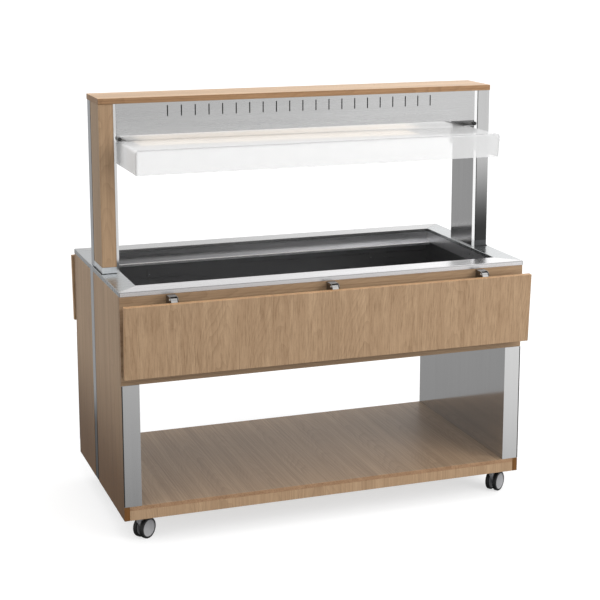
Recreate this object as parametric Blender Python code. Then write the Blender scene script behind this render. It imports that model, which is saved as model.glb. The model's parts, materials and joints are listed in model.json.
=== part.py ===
"""Heated buffet trolley (steam table unit) with fold-down tray slides and a lit canopy.

Metres, +Z up.  X is the long side, -Y the guest side, +Y the attendant side.  The origin is on the
floor under the middle of the unit.  Every object is one physical piece; the pieces that move hang
from an empty that stands on their joint's axis.
"""

import math

import bmesh
import bpy
from mathutils import Matrix, Vector

# ---- Driving dimensions -----------------------------------------------------------------------
HALF_LENGTH = 0.750  # counter and end boards
HALF_DEPTH = 0.381
COUNTER_TOP = 0.906
COUNTER_EDGE = 0.018
WELL_HALF_LENGTH = 0.6745
WELL_HALF_DEPTH = 0.298
WELL_FLOOR = 0.680
OVERALL_HEIGHT = 1.522

GAP = 0.0003  # between pieces that touch
SHEET = 0.0015  # folded stainless sheet
BOARD = 0.019  # veneered board
BOARD_EDGE = 0.0008  # broken edge of every board

# ---- Cabinet ----------------------------------------------------------------------------------
BASE_BOTTOM = 0.100
SHELF_TOP = 0.150
SHELF_THICK = 0.014
APRON_BOTTOM = 0.582
APRON_TOP = COUNTER_TOP - COUNTER_EDGE - GAP
END_INNER = 0.688  # face of the bright liner beside the shelf
BAY_HALF = HALF_LENGTH - BOARD - GAP  # what fits between the end boards
INNER_HALF_DEPTH = HALF_DEPTH - BOARD - GAP

# ---- Column that runs up each end and carries the canopy --------------------------------------
POST_HALF_DEPTH = 0.093
POST_OUTER = 0.744
COLUMN_OUTER = POST_OUTER - 0.0005
COLUMN_INNER = 0.7105
COLUMN_Y = (0.0470, POST_HALF_DEPTH - 0.0005)  # at the back of the post
COLUMN_WALL = 0.002
SHADOW_GAP = 0.010  # open joint in front of the column, from the floor to the top board
FRONT_BOARD_END = COLUMN_Y[0] - SHADOW_GAP
REAR_BOARD_START = COLUMN_Y[1] + 0.0008
NOTCH_Y = (COLUMN_Y[0] - 0.0005, COLUMN_Y[1] + 0.0005)
NOTCH_INNER = COLUMN_INNER - 0.0005

# ---- Posts, canopy and guard ------------------------------------------------------------------
POST_INNER = 0.683
LEFT_LINER_BACK = 0.692
RIGHT_LINER_BACK = 0.6945
RIGHT_CLAD_INNER = 0.6975
COLLAR_LOW = COUNTER_TOP + 0.002
COLLAR_HIGH = COUNTER_TOP + 0.023
TOP_BOARD_THICK = 0.020
TOP_BOARD_LOW = OVERALL_HEIGHT - TOP_BOARD_THICK
TOP_BOARD_HALF_LENGTH = 0.745
TOP_BOARD_HALF_DEPTH = 0.0965
CANOPY_HALF_LENGTH = 0.6825
CANOPY_FACE = 0.0945
CANOPY_LOW = 1.391
SLOT_COUNT = 21
SLOT_PITCH = 0.050
SLOT_WIDTH = 0.004
SLOT_LOW = 1.4526
SLOT_HIGH = 1.491
LAMP_LEFT = -0.590
LAMP_RIGHT = 0.475
LAMP_HALF_WIDTH = 0.070
GUARD_HALF_LENGTH = 0.670
GUARD_TOP = 1.3687
GUARD_BOTTOM = 1.2845
GUARD_THICK = 0.006
GUARD_CORNER = 0.011
GUARD_FRONT_TOP = -0.333  # the front pane leans in towards its lower edge
GUARD_FRONT_BOTTOM = -0.323
GUARD_REAR = 0.090

# ---- Fold-down tray slides --------------------------------------------------------------------
HINGE_Y = 0.4235
HINGE_Z = 0.876
TRAY_LEAN = math.radians(3.53)
TRAY_FACE = 0.0304  # from the hinge axis to the outer face
TRAY_START = 0.006  # from the hinge axis down to the upper edge
TRAY_LENGTH = 0.2515
HINGE_SPACING = 0.575
BRACKET_HALF_WIDTH = 0.0145
BRACKET_WALL = 0.0025
BRACKET_NOSE = 0.009
PIN_RADIUS = 0.003
ARM_HALF_WIDTH = 0.0110
ARM_BARREL = 0.0058
ARM_THICK = 0.0027

# ---- Castors ----------------------------------------------------------------------------------
PIVOT_X = 0.682
PIVOT_Y = 0.310
CASTOR_TRAIL = 0.0255
WHEEL_RADIUS = 0.0375
WHEEL_STEPS = 24
AXLE_HEIGHT = WHEEL_RADIUS * math.cos(math.pi / WHEEL_STEPS)  # a flat of the wheel is on the floor
FRONT_HEADING = math.radians(36.0)
REAR_HEADING = math.radians(20.0)
STEM_RADIUS = 0.0042
STEM_BORE = 0.0046
HEAD_TOP = 0.0905

# ---- Services ---------------------------------------------------------------------------------
DRAIN_X = 0.450
DRAIN_Y = 0.200
DRAIN_HOLE = 0.0165
VALVE_Z = 0.5615
PANEL_Y = (0.115, 0.255)
PANEL_Z = (0.655, 0.785)
KNOB_Y = 0.215
KNOB_Z = 0.720
SWITCH_Y = 0.150
POWER_Z = 0.745
LIGHT_Z = 0.695
SWITCH_TILT = math.radians(8.0)
PANEL_FACE = BAY_HALF
PANEL_BACK = PANEL_FACE - 0.0020
SWITCH_PIVOT_X = 0.7300


# ---- Scene and materials ----------------------------------------------------------------------
def clear_scene():
    for obj in list(bpy.data.objects):
        bpy.data.objects.remove(obj, do_unlink=True)


def make_material(name, color, roughness, metallic=0.0, alpha=1.0, transmission=0.0):
    material = bpy.data.materials.new(name)
    material.use_nodes = True
    shader = material.node_tree.nodes["Principled BSDF"]
    shader.inputs["Base Color"].default_value = (*color, 1.0)
    shader.inputs["Roughness"].default_value = roughness
    shader.inputs["Metallic"].default_value = metallic
    shader.inputs["Alpha"].default_value = alpha
    shader.inputs["Transmission Weight"].default_value = transmission
    material.diffuse_color = (*color, alpha)
    return material


clear_scene()
OAK = make_material("oak_veneer", (0.36, 0.24, 0.15), 0.55)
STEEL = make_material("brushed_steel", (0.62, 0.62, 0.62), 0.32, 1.0)
BRIGHT = make_material("bright_steel", (0.70, 0.70, 0.70), 0.12, 1.0)
TANK = make_material("tank_steel", (0.30, 0.30, 0.31), 0.35, 1.0)
COLUMN_STEEL = make_material("column_steel", (0.55, 0.56, 0.57), 0.38, 1.0)
FRAME = make_material("frame_steel", (0.20, 0.20, 0.21), 0.5, 0.8)
WOOL = make_material("mineral_wool", (0.62, 0.56, 0.40), 0.95)
ELEMENT = make_material("element_sheath", (0.16, 0.15, 0.15), 0.45, 0.9)
ACRYLIC = make_material("clear_acrylic", (0.92, 0.94, 0.94), 0.05, 0.0, 0.35, 1.0)
OPAL = make_material("opal_diffuser", (0.95, 0.86, 0.76), 0.4)
LAMP_GLASS = make_material("lamp_glass", (0.95, 0.93, 0.88), 0.2)
BLACK = make_material("black_plastic", (0.02, 0.02, 0.02), 0.4)
GREY = make_material("grey_nylon", (0.33, 0.33, 0.34), 0.45)
TYRE = make_material("tyre_rubber", (0.015, 0.015, 0.015), 0.6)
BRASS = make_material("valve_brass", (0.60, 0.47, 0.24), 0.35, 1.0)
RED = make_material("lever_red", (0.50, 0.03, 0.02), 0.4)


# ---- Shape helpers ----------------------------------------------------------------------------
def joint_empty(name, location, heading=0.0):
    empty = bpy.data.objects.new(name, None)
    empty.location = location
    empty.rotation_euler = (0.0, 0.0, heading)
    bpy.context.scene.collection.objects.link(empty)
    return empty


def add_object(name, bm, material, origin=None, parent=None, smooth=False):
    """Makes an object of a mesh drawn in the parent's space, or in the world's where it has none."""
    bmesh.ops.recalc_face_normals(bm, faces=bm.faces)
    if origin is None:
        low, high = mesh_box(bm)
        origin = (low + high) / 2
    bmesh.ops.translate(bm, verts=bm.verts, vec=-Vector(origin))
    mesh = bpy.data.meshes.new(name)
    bm.to_mesh(mesh)
    bm.free()
    if smooth:
        mesh.shade_smooth()
        mesh.set_sharp_from_angle(angle=math.radians(35))
    mesh.materials.append(material)
    obj = bpy.data.objects.new(name, mesh)
    obj.location = origin
    obj.parent = parent
    bpy.context.scene.collection.objects.link(obj)
    return obj


def mesh_box(bm):
    points = [v.co for v in bm.verts]
    low = Vector([min(p[i] for p in points) for i in range(3)])
    high = Vector([max(p[i] for p in points) for i in range(3)])
    return low, high


def add_box(bm, low, high):
    size = [b - a for a, b in zip(low, high)]
    middle = [(a + b) / 2 for a, b in zip(low, high)]
    place = Matrix.Translation(middle) @ Matrix.Diagonal((*size, 1.0))
    bmesh.ops.create_cube(bm, size=1.0, matrix=place)


def add_prism(bm, outline, axis, low, high):
    """Extrudes an outline.  Its points are (y, z) along X, (x, z) along Y and (x, y) along Z."""
    order = {"X": (2, 0, 1), "Y": (0, 2, 1), "Z": (0, 1, 2)}[axis]
    verts = []
    for a, b in outline:
        flat = (a, b, low)
        verts.append(bm.verts.new([flat[i] for i in order]))
    face = bm.faces.new(verts)
    step = Vector([(0.0, 0.0, high - low)[i] for i in order])
    made = bmesh.ops.extrude_face_region(bm, geom=[face])["geom"]
    moved = [v for v in made if isinstance(v, bmesh.types.BMVert)]
    bmesh.ops.translate(bm, verts=moved, vec=step)


def add_cylinder(bm, centre, axis, radius, low, high, steps=16):
    """A cylinder about a line through centre along axis, from low to high on that axis."""
    turn = {
        "X": Matrix.Rotation(math.pi / 2, 4, "Y"),
        "Y": Matrix.Rotation(math.pi / 2, 4, "X"),
        "Z": Matrix.Identity(4),
    }[axis]
    middle = Vector(centre)
    middle["XYZ".index(axis)] = (low + high) / 2
    place = Matrix.Translation(middle) @ turn
    bmesh.ops.create_cone(
        bm,
        cap_ends=True,
        segments=steps,
        radius1=radius,
        radius2=radius,
        depth=high - low,
        matrix=place,
    )


def add_turned(bm, profile, axis, centre, steps=24, phase=0.0):
    """Spins a profile of (radius, place along axis) points.  Its ends lie on the axis, or it is closed."""
    along = Vector([float(axis == name) for name in "XYZ"])
    across = Vector((0.0, 0.0, 1.0)) if axis != "Z" else Vector((1.0, 0.0, 0.0))
    across = Matrix.Rotation(phase, 3, along) @ across
    start = Vector(centre)
    points = [bm.verts.new(start + across * radius + along * place) for radius, place in profile]
    on_axis = profile[0][0] == 0.0 and profile[-1][0] == 0.0
    pairs = list(zip(points, points[1:]))
    if not on_axis:
        pairs.append((points[-1], points[0]))
    edges = [bm.edges.new(pair) for pair in pairs]
    bmesh.ops.spin(
        bm,
        geom=points + edges,
        cent=start,
        axis=along,
        angle=2 * math.pi,
        steps=steps,
        use_merge=True,
    )
    bmesh.ops.remove_doubles(bm, verts=bm.verts, dist=1e-6)


def add_hollow_prism(bm, outer, inner, low, high):
    """A rectangular tube along Z.  outer and inner are (x0, y0, x1, y1)."""
    loops = []
    for x0, y0, x1, y1 in (outer, inner):
        for z in (low, high):
            corners = ((x0, y0), (x1, y0), (x1, y1), (x0, y1))
            loops.append([bm.verts.new((x, y, z)) for x, y in corners])
    outer_low, outer_high, inner_low, inner_high = loops
    for first, second in (
        (outer_low, outer_high),
        (inner_low, inner_high),
        (outer_low, inner_low),
        (outer_high, inner_high),
    ):
        for i in range(4):
            j = (i + 1) % 4
            bm.faces.new((first[i], first[j], second[j], second[i]))


def add_open_box(bm, outer_low, outer_high, wall, floor):
    """A box that is open at the top."""
    inner_low = [outer_low[0] + wall, outer_low[1] + wall, outer_low[2] + floor]
    inner_high = [outer_high[0] - wall, outer_high[1] - wall, outer_high[2]]
    rings = []
    for low, high in ((outer_low, outer_high), (inner_low, inner_high)):
        for z in (low[2], high[2]):
            corners = ((low[0], low[1]), (high[0], low[1]), (high[0], high[1]), (low[0], high[1]))
            rings.append([bm.verts.new((x, y, z)) for x, y in corners])
    outer_floor, outer_rim, inner_floor, inner_rim = rings
    bm.faces.new(outer_floor)
    bm.faces.new(inner_floor)
    for first, second in (
        (outer_floor, outer_rim),
        (inner_floor, inner_rim),
        (outer_rim, inner_rim),
    ):
        for i in range(4):
            j = (i + 1) % 4
            bm.faces.new((first[i], first[j], second[j], second[i]))


def add_folded_ring(bm, outer_half, inner_half, profile):
    """Sweeps a sheet's section round a rectangular frame with mitred corners.

    profile points are (side, outwards, z): outwards is counted from the outer or the inner edge.
    """
    halves = {"outer": outer_half, "inner": inner_half}
    loops = []
    for side, outwards, z in profile:
        x = halves[side][0] + outwards
        y = halves[side][1] + outwards
        loops.append([bm.verts.new(p) for p in ((-x, -y, z), (x, -y, z), (x, y, z), (-x, y, z))])
    for first, second in zip(loops, loops[1:] + loops[:1]):
        for i in range(4):
            j = (i + 1) % 4
            bm.faces.new((first[i], first[j], second[j], second[i]))


def arc(centre, radius, start, end, steps):
    """Points on an arc, in degrees from the first axis towards the second."""
    points = []
    for i in range(steps + 1):
        angle = math.radians(start + (end - start) * i / steps)
        points.append((centre[0] + radius * math.cos(angle), centre[1] + radius * math.sin(angle)))
    return points


def break_edges(obj, width=BOARD_EDGE):
    """Bevels the outward corners only, so that no inner corner is filled."""
    bm = bmesh.new()
    bm.from_mesh(obj.data)
    weight = bm.edges.layers.float.new("bevel_weight_edge")
    for edge in bm.edges:
        edge[weight] = float(edge.calc_face_angle_signed(0.0) > math.radians(40))
    bm.to_mesh(obj.data)
    bm.free()
    bevel = obj.modifiers.new("broken_edges", "BEVEL")
    bevel.width = width
    bevel.segments = 1
    bevel.limit_method = "WEIGHT"


def combine(obj, operation, name, bm):
    """Cuts a helper shape from an object, or joins it on."""
    tool = add_object(name, bm, STEEL)
    tool.hide_render = True
    tool.display_type = "WIRE"
    boolean = obj.modifiers.new(name, "BOOLEAN")
    boolean.operation = operation
    boolean.solver = "EXACT"
    boolean.object = tool


def board(name, low, high):
    bm = bmesh.new()
    add_box(bm, low, high)
    obj = add_object(name, bm, OAK)
    break_edges(obj)
    return obj


def notched_outline(half_x, half_y):
    """A rectangle with a notch at each end for the column."""
    right = [
        (half_x, -half_y),
        (half_x, NOTCH_Y[0]),
        (NOTCH_INNER, NOTCH_Y[0]),
        (NOTCH_INNER, NOTCH_Y[1]),
        (half_x, NOTCH_Y[1]),
        (half_x, half_y),
    ]
    return right + [(-x, y) for x, y in reversed(right)]


# ---- Counter and well -------------------------------------------------------------------------
def counter_top():
    top = COUNTER_TOP
    low = COUNTER_TOP - COUNTER_EDGE
    lip = top - 0.012
    turn_in = 0.014
    bend = 0.0012
    profile = [
        ("outer", -turn_in, low),
        ("outer", -bend, low),
        ("outer", 0.0, low + bend),
        ("outer", 0.0, top - bend),
        ("outer", -bend, top),
        ("inner", bend, top),
        ("inner", 0.0, top - bend),
        ("inner", 0.0, lip),
        ("inner", SHEET, lip),
        ("inner", SHEET, top - SHEET),
        ("outer", -SHEET, top - SHEET),
        ("outer", -SHEET, low + SHEET),
        ("outer", -turn_in, low + SHEET),
    ]
    outer = (HALF_LENGTH, HALF_DEPTH)
    inner = (WELL_HALF_LENGTH, WELL_HALF_DEPTH)
    bm = bmesh.new()
    add_folded_ring(bm, outer, inner, profile)
    obj = add_object("counter_top", bm, STEEL)
    cut = bmesh.new()
    for side in (-1, 1):
        ends = sorted((side * NOTCH_INNER, side * (HALF_LENGTH + 0.02)))
        add_box(
            cut,
            (ends[0], NOTCH_Y[0], low - 0.01),
            (ends[1], NOTCH_Y[1], top + 0.01),
        )
    combine(obj, "DIFFERENCE", "column_notches", cut)


def drain_cutter(name, low, high):
    cut = bmesh.new()
    add_cylinder(cut, (DRAIN_X, DRAIN_Y, 0), "Z", DRAIN_HOLE, low, high, 16)
    return name, cut


def well_tank():
    low = (-WELL_HALF_LENGTH - SHEET, -WELL_HALF_DEPTH - SHEET, WELL_FLOOR - SHEET)
    high = (WELL_HALF_LENGTH + SHEET, WELL_HALF_DEPTH + SHEET, COUNTER_TOP - 0.012 - GAP)
    bm = bmesh.new()
    add_open_box(bm, low, high, SHEET, SHEET)
    obj = add_object("well_tank", bm, TANK)
    ledge_top = COUNTER_TOP - 0.050
    ledge_inner = 0.263
    ledges = bmesh.new()
    for side in (-1, 1):
        outline = [
            (side * (WELL_HALF_DEPTH + SHEET / 2), ledge_top),
            (side * ledge_inner, ledge_top),
            (side * ledge_inner, ledge_top - 0.009),
            (side * (ledge_inner + SHEET), ledge_top - 0.009),
            (side * (ledge_inner + SHEET), ledge_top - SHEET),
            (side * (WELL_HALF_DEPTH + SHEET / 2), ledge_top - SHEET),
        ]
        half = WELL_HALF_LENGTH + SHEET / 2
        add_prism(ledges, outline, "X", -half, half)
    combine(obj, "UNION", "pan_ledges", ledges)
    combine(obj, "DIFFERENCE", *drain_cutter("tank_drain_hole", WELL_FLOOR - 0.01, WELL_FLOOR + 0.01))


def tank_insulation():
    gap = 0.0005
    thick = 0.020
    x = WELL_HALF_LENGTH + SHEET + gap + thick
    y = WELL_HALF_DEPTH + SHEET + gap + thick
    bm = bmesh.new()
    add_open_box(bm, (-x, -y, 0.635), (x, y, 0.870), thick, thick)
    obj = add_object("tank_insulation", bm, WOOL)
    combine(obj, "DIFFERENCE", *drain_cutter("insulation_drain_hole", 0.62, 0.67))


def heating_element():
    """One sheathed element, bent to and fro under the tank."""
    passes = 6
    pitch = 0.090
    reach = 0.580
    height = 0.668
    points = []
    for i in range(passes):
        y = (i - (passes - 1) / 2) * pitch
        side = 1 if i % 2 == 0 else -1
        points.append((-side * reach, y))
        if i < passes - 1:
            turn = arc((side * reach, y + pitch / 2), pitch / 2, -90, 90, 6)
            points += [(side * reach + side * (px - side * reach), py) for px, py in turn[:-1]]
        else:
            points.append((side * reach, y))
    curve = bpy.data.curves.new("heating_element", "CURVE")
    curve.dimensions = "3D"
    curve.bevel_depth = 0.004
    curve.bevel_resolution = 1
    curve.use_fill_caps = True
    spline = curve.splines.new("POLY")
    spline.points.add(len(points) - 1)
    for point, (x, y) in zip(spline.points, points):
        point.co = (x, y, height, 1.0)
    curve.materials.append(ELEMENT)
    obj = bpy.data.objects.new("heating_element", curve)
    bpy.context.scene.collection.objects.link(obj)


def belly_pan():
    y = INNER_HALF_DEPTH
    low = APRON_BOTTOM
    rim = low + 0.020
    outline = [
        (-y, low),
        (y, low),
        (y, rim),
        (y - SHEET, rim),
        (y - SHEET, low + SHEET),
        (-y + SHEET, low + SHEET),
        (-y + SHEET, rim),
        (-y, rim),
    ]
    bm = bmesh.new()
    add_prism(bm, outline, "X", -NOTCH_INNER, NOTCH_INNER)
    obj = add_object("belly_pan", bm, STEEL)
    combine(obj, "DIFFERENCE", *drain_cutter("belly_drain_hole", low - 0.01, low + 0.01))


def counter_and_well():
    counter_top()
    well_tank()
    tank_insulation()
    heating_element()
    belly_pan()


# ---- Cabinet ----------------------------------------------------------------------------------
def aprons():
    for name, side in (("apron_front", -1), ("apron_rear", 1)):
        ends = sorted((side * HALF_DEPTH, side * (HALF_DEPTH - BOARD)))
        board(name, (-HALF_LENGTH, ends[0], APRON_BOTTOM), (HALF_LENGTH, ends[1], APRON_TOP))


def end_board(name, side_x, side_y):
    """Its outer edge steps back behind the liner's edge strip, and again behind the apron."""
    strip_back = HALF_DEPTH - SHEET - GAP
    apron_back = HALF_DEPTH - BOARD - GAP
    column_edge = REAR_BOARD_START if side_y > 0 else -FRONT_BOARD_END
    outline = [
        (column_edge, BASE_BOTTOM),
        (HALF_DEPTH, BASE_BOTTOM),
        (HALF_DEPTH, SHELF_TOP),
        (strip_back, SHELF_TOP),
        (strip_back, APRON_BOTTOM - GAP),
        (apron_back, APRON_BOTTOM - GAP),
        (apron_back, APRON_TOP),
        (column_edge, APRON_TOP),
    ]
    bm = bmesh.new()
    outline = [(side_y * y, z) for y, z in outline]
    ends = sorted((side_x * HALF_LENGTH, side_x * (HALF_LENGTH - BOARD)))
    add_prism(bm, outline, "X", *ends)
    return add_object(name, bm, OAK)


def end_boards():
    for x_name, side_x in (("left", -1), ("right", 1)):
        for y_name, side_y in (("front", -1), ("rear", 1)):
            obj = end_board(f"{x_name}_end_board_{y_name}", side_x, side_y)
            if (side_x, side_y) == (1, 1):
                cut = bmesh.new()
                add_box(
                    cut,
                    (HALF_LENGTH - 0.03, PANEL_Y[0], PANEL_Z[0]),
                    (HALF_LENGTH + 0.01, PANEL_Y[1], PANEL_Z[1]),
                )
                combine(obj, "DIFFERENCE", "control_recess", cut)
            break_edges(obj)


def end_liners():
    """Bright sheet beside the shelf, folded round the front and the rear edge of each end."""
    for name, side in (("left_end_liner", -1), ("right_end_liner", 1)):
        x = END_INNER
        y = HALF_DEPTH
        outline = [
            (x, -y),
            (HALF_LENGTH, -y),
            (HALF_LENGTH, -y + SHEET),
            (x + SHEET, -y + SHEET),
            (x + SHEET, y - SHEET),
            (HALF_LENGTH, y - SHEET),
            (HALF_LENGTH, y),
            (x, y),
        ]
        bm = bmesh.new()
        outline = [(side * px, py) for px, py in outline]
        add_prism(bm, outline, "Z", SHELF_TOP + GAP, APRON_BOTTOM - GAP)
        add_object(name, bm, BRIGHT)


def base():
    bm = bmesh.new()
    add_prism(bm, notched_outline(BAY_HALF, HALF_DEPTH), "Z", SHELF_TOP - SHELF_THICK, SHELF_TOP)
    shelf = add_object("base_shelf", bm, OAK)
    break_edges(shelf, 0.0005)
    top = SHELF_TOP - SHELF_THICK - GAP
    for name, side in (("base_fascia_front", -1), ("base_fascia_rear", 1)):
        ends = sorted((side * HALF_DEPTH, side * (HALF_DEPTH - BOARD)))
        board(name, (-BAY_HALF, ends[0], BASE_BOTTOM), (BAY_HALF, ends[1], top))


def base_frame():
    """Folded steel frame under the shelf, with the stem of each castor screwed into it."""
    low = BASE_BOTTOM + GAP
    high = SHELF_TOP - SHELF_THICK - GAP
    wall = 0.0025
    flange = 0.090
    outer = (NOTCH_INNER, INNER_HALF_DEPTH - 0.0005)
    inner = (outer[0] - flange, outer[1] - flange)
    profile = [
        ("outer", 0.0, low),
        ("outer", 0.0, high),
        ("outer", -wall, high),
        ("outer", -wall, low + wall),
        ("inner", 0.0, low + wall),
        ("inner", 0.0, low),
    ]
    bm = bmesh.new()
    add_folded_ring(bm, outer, inner, profile)
    obj = add_object("base_frame", bm, FRAME)
    stems = bmesh.new()
    stem = [
        (0.0, 0.0715),
        (STEM_RADIUS, 0.0715),
        (STEM_RADIUS, HEAD_TOP + 0.0006),
        (0.009, HEAD_TOP + 0.0006),
        (0.011, 0.0960),
        (0.011, low + 0.001),
        (0.0, low + 0.001),
    ]
    for x in (-PIVOT_X, PIVOT_X):
        for y in (-PIVOT_Y, PIVOT_Y):
            add_turned(stems, stem, "Z", (x, y, 0.0), 16)
    combine(obj, "UNION", "castor_stems", stems)


# ---- Columns and posts ------------------------------------------------------------------------
def column(name, side, collar_inner):
    """Steel tube up the back of a post, with the collar that stands on the counter welded on."""
    outer = (COLUMN_INNER, COLUMN_Y[0], COLUMN_OUTER, COLUMN_Y[1])
    inner = (
        outer[0] + COLUMN_WALL,
        outer[1] + COLUMN_WALL,
        outer[2] - COLUMN_WALL,
        outer[3] - COLUMN_WALL,
    )
    bm = bmesh.new()
    add_hollow_prism(bm, outer, inner, BASE_BOTTOM, TOP_BOARD_LOW - GAP)
    weld = 0.0010
    x = COLUMN_INNER + weld
    y = COLUMN_Y[0] + weld
    outline = [
        (POST_OUTER, -POST_HALF_DEPTH),
        (POST_OUTER, y),
        (x, y),
        (x, POST_HALF_DEPTH),
        (collar_inner, POST_HALF_DEPTH),
        (collar_inner, -POST_HALF_DEPTH),
    ]
    collar = bmesh.new()
    add_prism(collar, outline, "Z", COLLAR_LOW, COLLAR_HIGH)
    if side < 0:
        for shape in (bm, collar):
            bmesh.ops.scale(shape, vec=(-1, 1, 1), verts=shape.verts)
    obj = add_object(name, bm, COLUMN_STEEL)
    combine(obj, "UNION", name + "_collar", collar)


def wood_post_outline(inner):
    """Section of the oak post, with a recess for the column in its outer back corner."""
    return [
        (POST_OUTER, -POST_HALF_DEPTH),
        (POST_OUTER, FRONT_BOARD_END),
        (NOTCH_INNER, FRONT_BOARD_END),
        (NOTCH_INNER, POST_HALF_DEPTH),
        (inner, POST_HALF_DEPTH),
        (inner, -POST_HALF_DEPTH),
    ]


def steel_post_outline(inner):
    """Section of the folded steel post, which leaves out the same corner."""
    outer = POST_OUTER
    depth = POST_HALF_DEPTH
    return [
        (outer, -depth),
        (outer, FRONT_BOARD_END),
        (outer - SHEET, FRONT_BOARD_END),
        (outer - SHEET, -depth + SHEET),
        (inner + SHEET, -depth + SHEET),
        (inner + SHEET, depth - SHEET),
        (NOTCH_INNER, depth - SHEET),
        (NOTCH_INNER, depth),
        (inner, depth),
        (inner, -depth),
    ]


def channel_outline(inner, outer, half_depth):
    """Section of a folded sheet channel that is open towards +X."""
    return [
        (outer, -half_depth),
        (inner, -half_depth),
        (inner, half_depth),
        (outer, half_depth),
        (outer, half_depth - SHEET),
        (inner + SHEET, half_depth - SHEET),
        (inner + SHEET, -half_depth + SHEET),
        (outer, -half_depth + SHEET),
    ]


def posts():
    column("left_column", -1, LEFT_LINER_BACK + GAP)
    column("right_column", 1, RIGHT_CLAD_INNER)
    low = COLLAR_HIGH + GAP
    high = TOP_BOARD_LOW - 2 * GAP
    bm = bmesh.new()
    outline = [(-x, y) for x, y in wood_post_outline(LEFT_LINER_BACK + GAP)]
    add_prism(bm, outline, "Z", low, high)
    break_edges(add_object("left_post_cladding", bm, OAK))
    bm = bmesh.new()
    add_prism(bm, steel_post_outline(RIGHT_CLAD_INNER), "Z", low, high)
    add_object("right_post_cladding", bm, BRIGHT)
    for name, side, back in (
        ("left_post_liner", -1, LEFT_LINER_BACK),
        ("right_post_liner", 1, RIGHT_LINER_BACK),
    ):
        bm = bmesh.new()
        outline = [(side * x, y) for x, y in channel_outline(POST_INNER, back, POST_HALF_DEPTH)]
        add_prism(bm, outline, "Z", COUNTER_TOP + GAP, high)
        add_object(name, bm, BRIGHT)


# ---- Canopy -----------------------------------------------------------------------------------
def canopy_fascia(name, side):
    ends = sorted((side * CANOPY_FACE, side * (CANOPY_FACE - SHEET)))
    bm = bmesh.new()
    add_box(
        bm,
        (-CANOPY_HALF_LENGTH, ends[0], CANOPY_LOW),
        (CANOPY_HALF_LENGTH, ends[1], TOP_BOARD_LOW - GAP),
    )
    obj = add_object(name, bm, STEEL)
    slots = bmesh.new()
    for i in range(SLOT_COUNT):
        x = (i - (SLOT_COUNT - 1) / 2) * SLOT_PITCH
        add_box(
            slots,
            (x - SLOT_WIDTH / 2, ends[0] - 0.002, SLOT_LOW),
            (x + SLOT_WIDTH / 2, ends[1] + 0.002, SLOT_HIGH),
        )
    combine(obj, "DIFFERENCE", name + "_slots", slots)


def lamp_tray():
    y = CANOPY_FACE - SHEET - 0.0005
    low = CANOPY_LOW
    rim = low + 0.020
    outline = [
        (-y, low),
        (y, low),
        (y, rim),
        (y - SHEET, rim),
        (y - SHEET, low + SHEET),
        (-y + SHEET, low + SHEET),
        (-y + SHEET, rim),
        (-y, rim),
    ]
    bm = bmesh.new()
    add_prism(bm, outline, "X", -CANOPY_HALF_LENGTH, CANOPY_HALF_LENGTH)
    obj = add_object("lamp_tray", bm, STEEL)
    cut = bmesh.new()
    add_box(cut, (LAMP_LEFT, -LAMP_HALF_WIDTH, low - 0.01), (LAMP_RIGHT, LAMP_HALF_WIDTH, low + 0.01))
    combine(obj, "DIFFERENCE", "lamp_opening", cut)


def lamp_diffuser():
    """Opal panel that drops into the tray's opening and rests on its edges."""
    play = 0.0005
    y = LAMP_HALF_WIDTH - play
    low = CANOPY_LOW + 0.0003
    step = CANOPY_LOW + SHEET + GAP
    outline = [
        (-y, low),
        (y, low),
        (y, step),
        (y + 0.008, step),
        (y + 0.008, step + 0.002),
        (-y - 0.008, step + 0.002),
        (-y - 0.008, step),
        (-y, step),
    ]
    bm = bmesh.new()
    add_prism(bm, outline, "X", LAMP_LEFT + play, LAMP_RIGHT - play)
    add_object("lamp_diffuser", bm, OPAL)


def heat_lamp():
    cap = 0.0085
    glass = 0.0075
    half = 0.500
    cap_length = 0.025
    profile = [
        (0.0, -half - 0.008),
        (0.003, -half - 0.008),
        (0.003, -half),
        (cap, -half),
        (cap, -half + cap_length),
        (glass, -half + cap_length),
        (glass, half - cap_length),
        (cap, half - cap_length),
        (cap, half),
        (0.003, half),
        (0.003, half + 0.008),
        (0.0, half + 0.008),
    ]
    bm = bmesh.new()
    centre = ((LAMP_LEFT + LAMP_RIGHT) / 2, 0.0, CANOPY_LOW + 0.035)
    add_turned(bm, profile, "X", centre, 16)
    add_object("heat_lamp", bm, LAMP_GLASS, smooth=True)


def canopy():
    low = (-TOP_BOARD_HALF_LENGTH, -TOP_BOARD_HALF_DEPTH, TOP_BOARD_LOW)
    high = (TOP_BOARD_HALF_LENGTH, TOP_BOARD_HALF_DEPTH, OVERALL_HEIGHT)
    board("top_board", low, high)
    canopy_fascia("canopy_fascia_front", -1)
    canopy_fascia("canopy_fascia_rear", 1)
    lamp_tray()
    lamp_diffuser()
    heat_lamp()


# ---- Sneeze guard -----------------------------------------------------------------------------
def guard_front(z):
    """Where the outer face of the front pane is at a height."""
    share = (z - GUARD_BOTTOM) / (GUARD_TOP - GUARD_BOTTOM)
    return GUARD_FRONT_BOTTOM + (GUARD_FRONT_TOP - GUARD_FRONT_BOTTOM) * share


def add_leaning_prism(bm, outline, front, rear):
    """Extrudes an (x, z) outline along Y.  front and rear give Y at a height."""
    fronts = [bm.verts.new((x, front(z), z)) for x, z in outline]
    rears = [bm.verts.new((x, rear(z), z)) for x, z in outline]
    bm.faces.new(fronts)
    bm.faces.new(rears)
    for i in range(len(outline)):
        j = (i + 1) % len(outline)
        bm.faces.new((fronts[i], fronts[j], rears[j], rears[i]))


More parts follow.
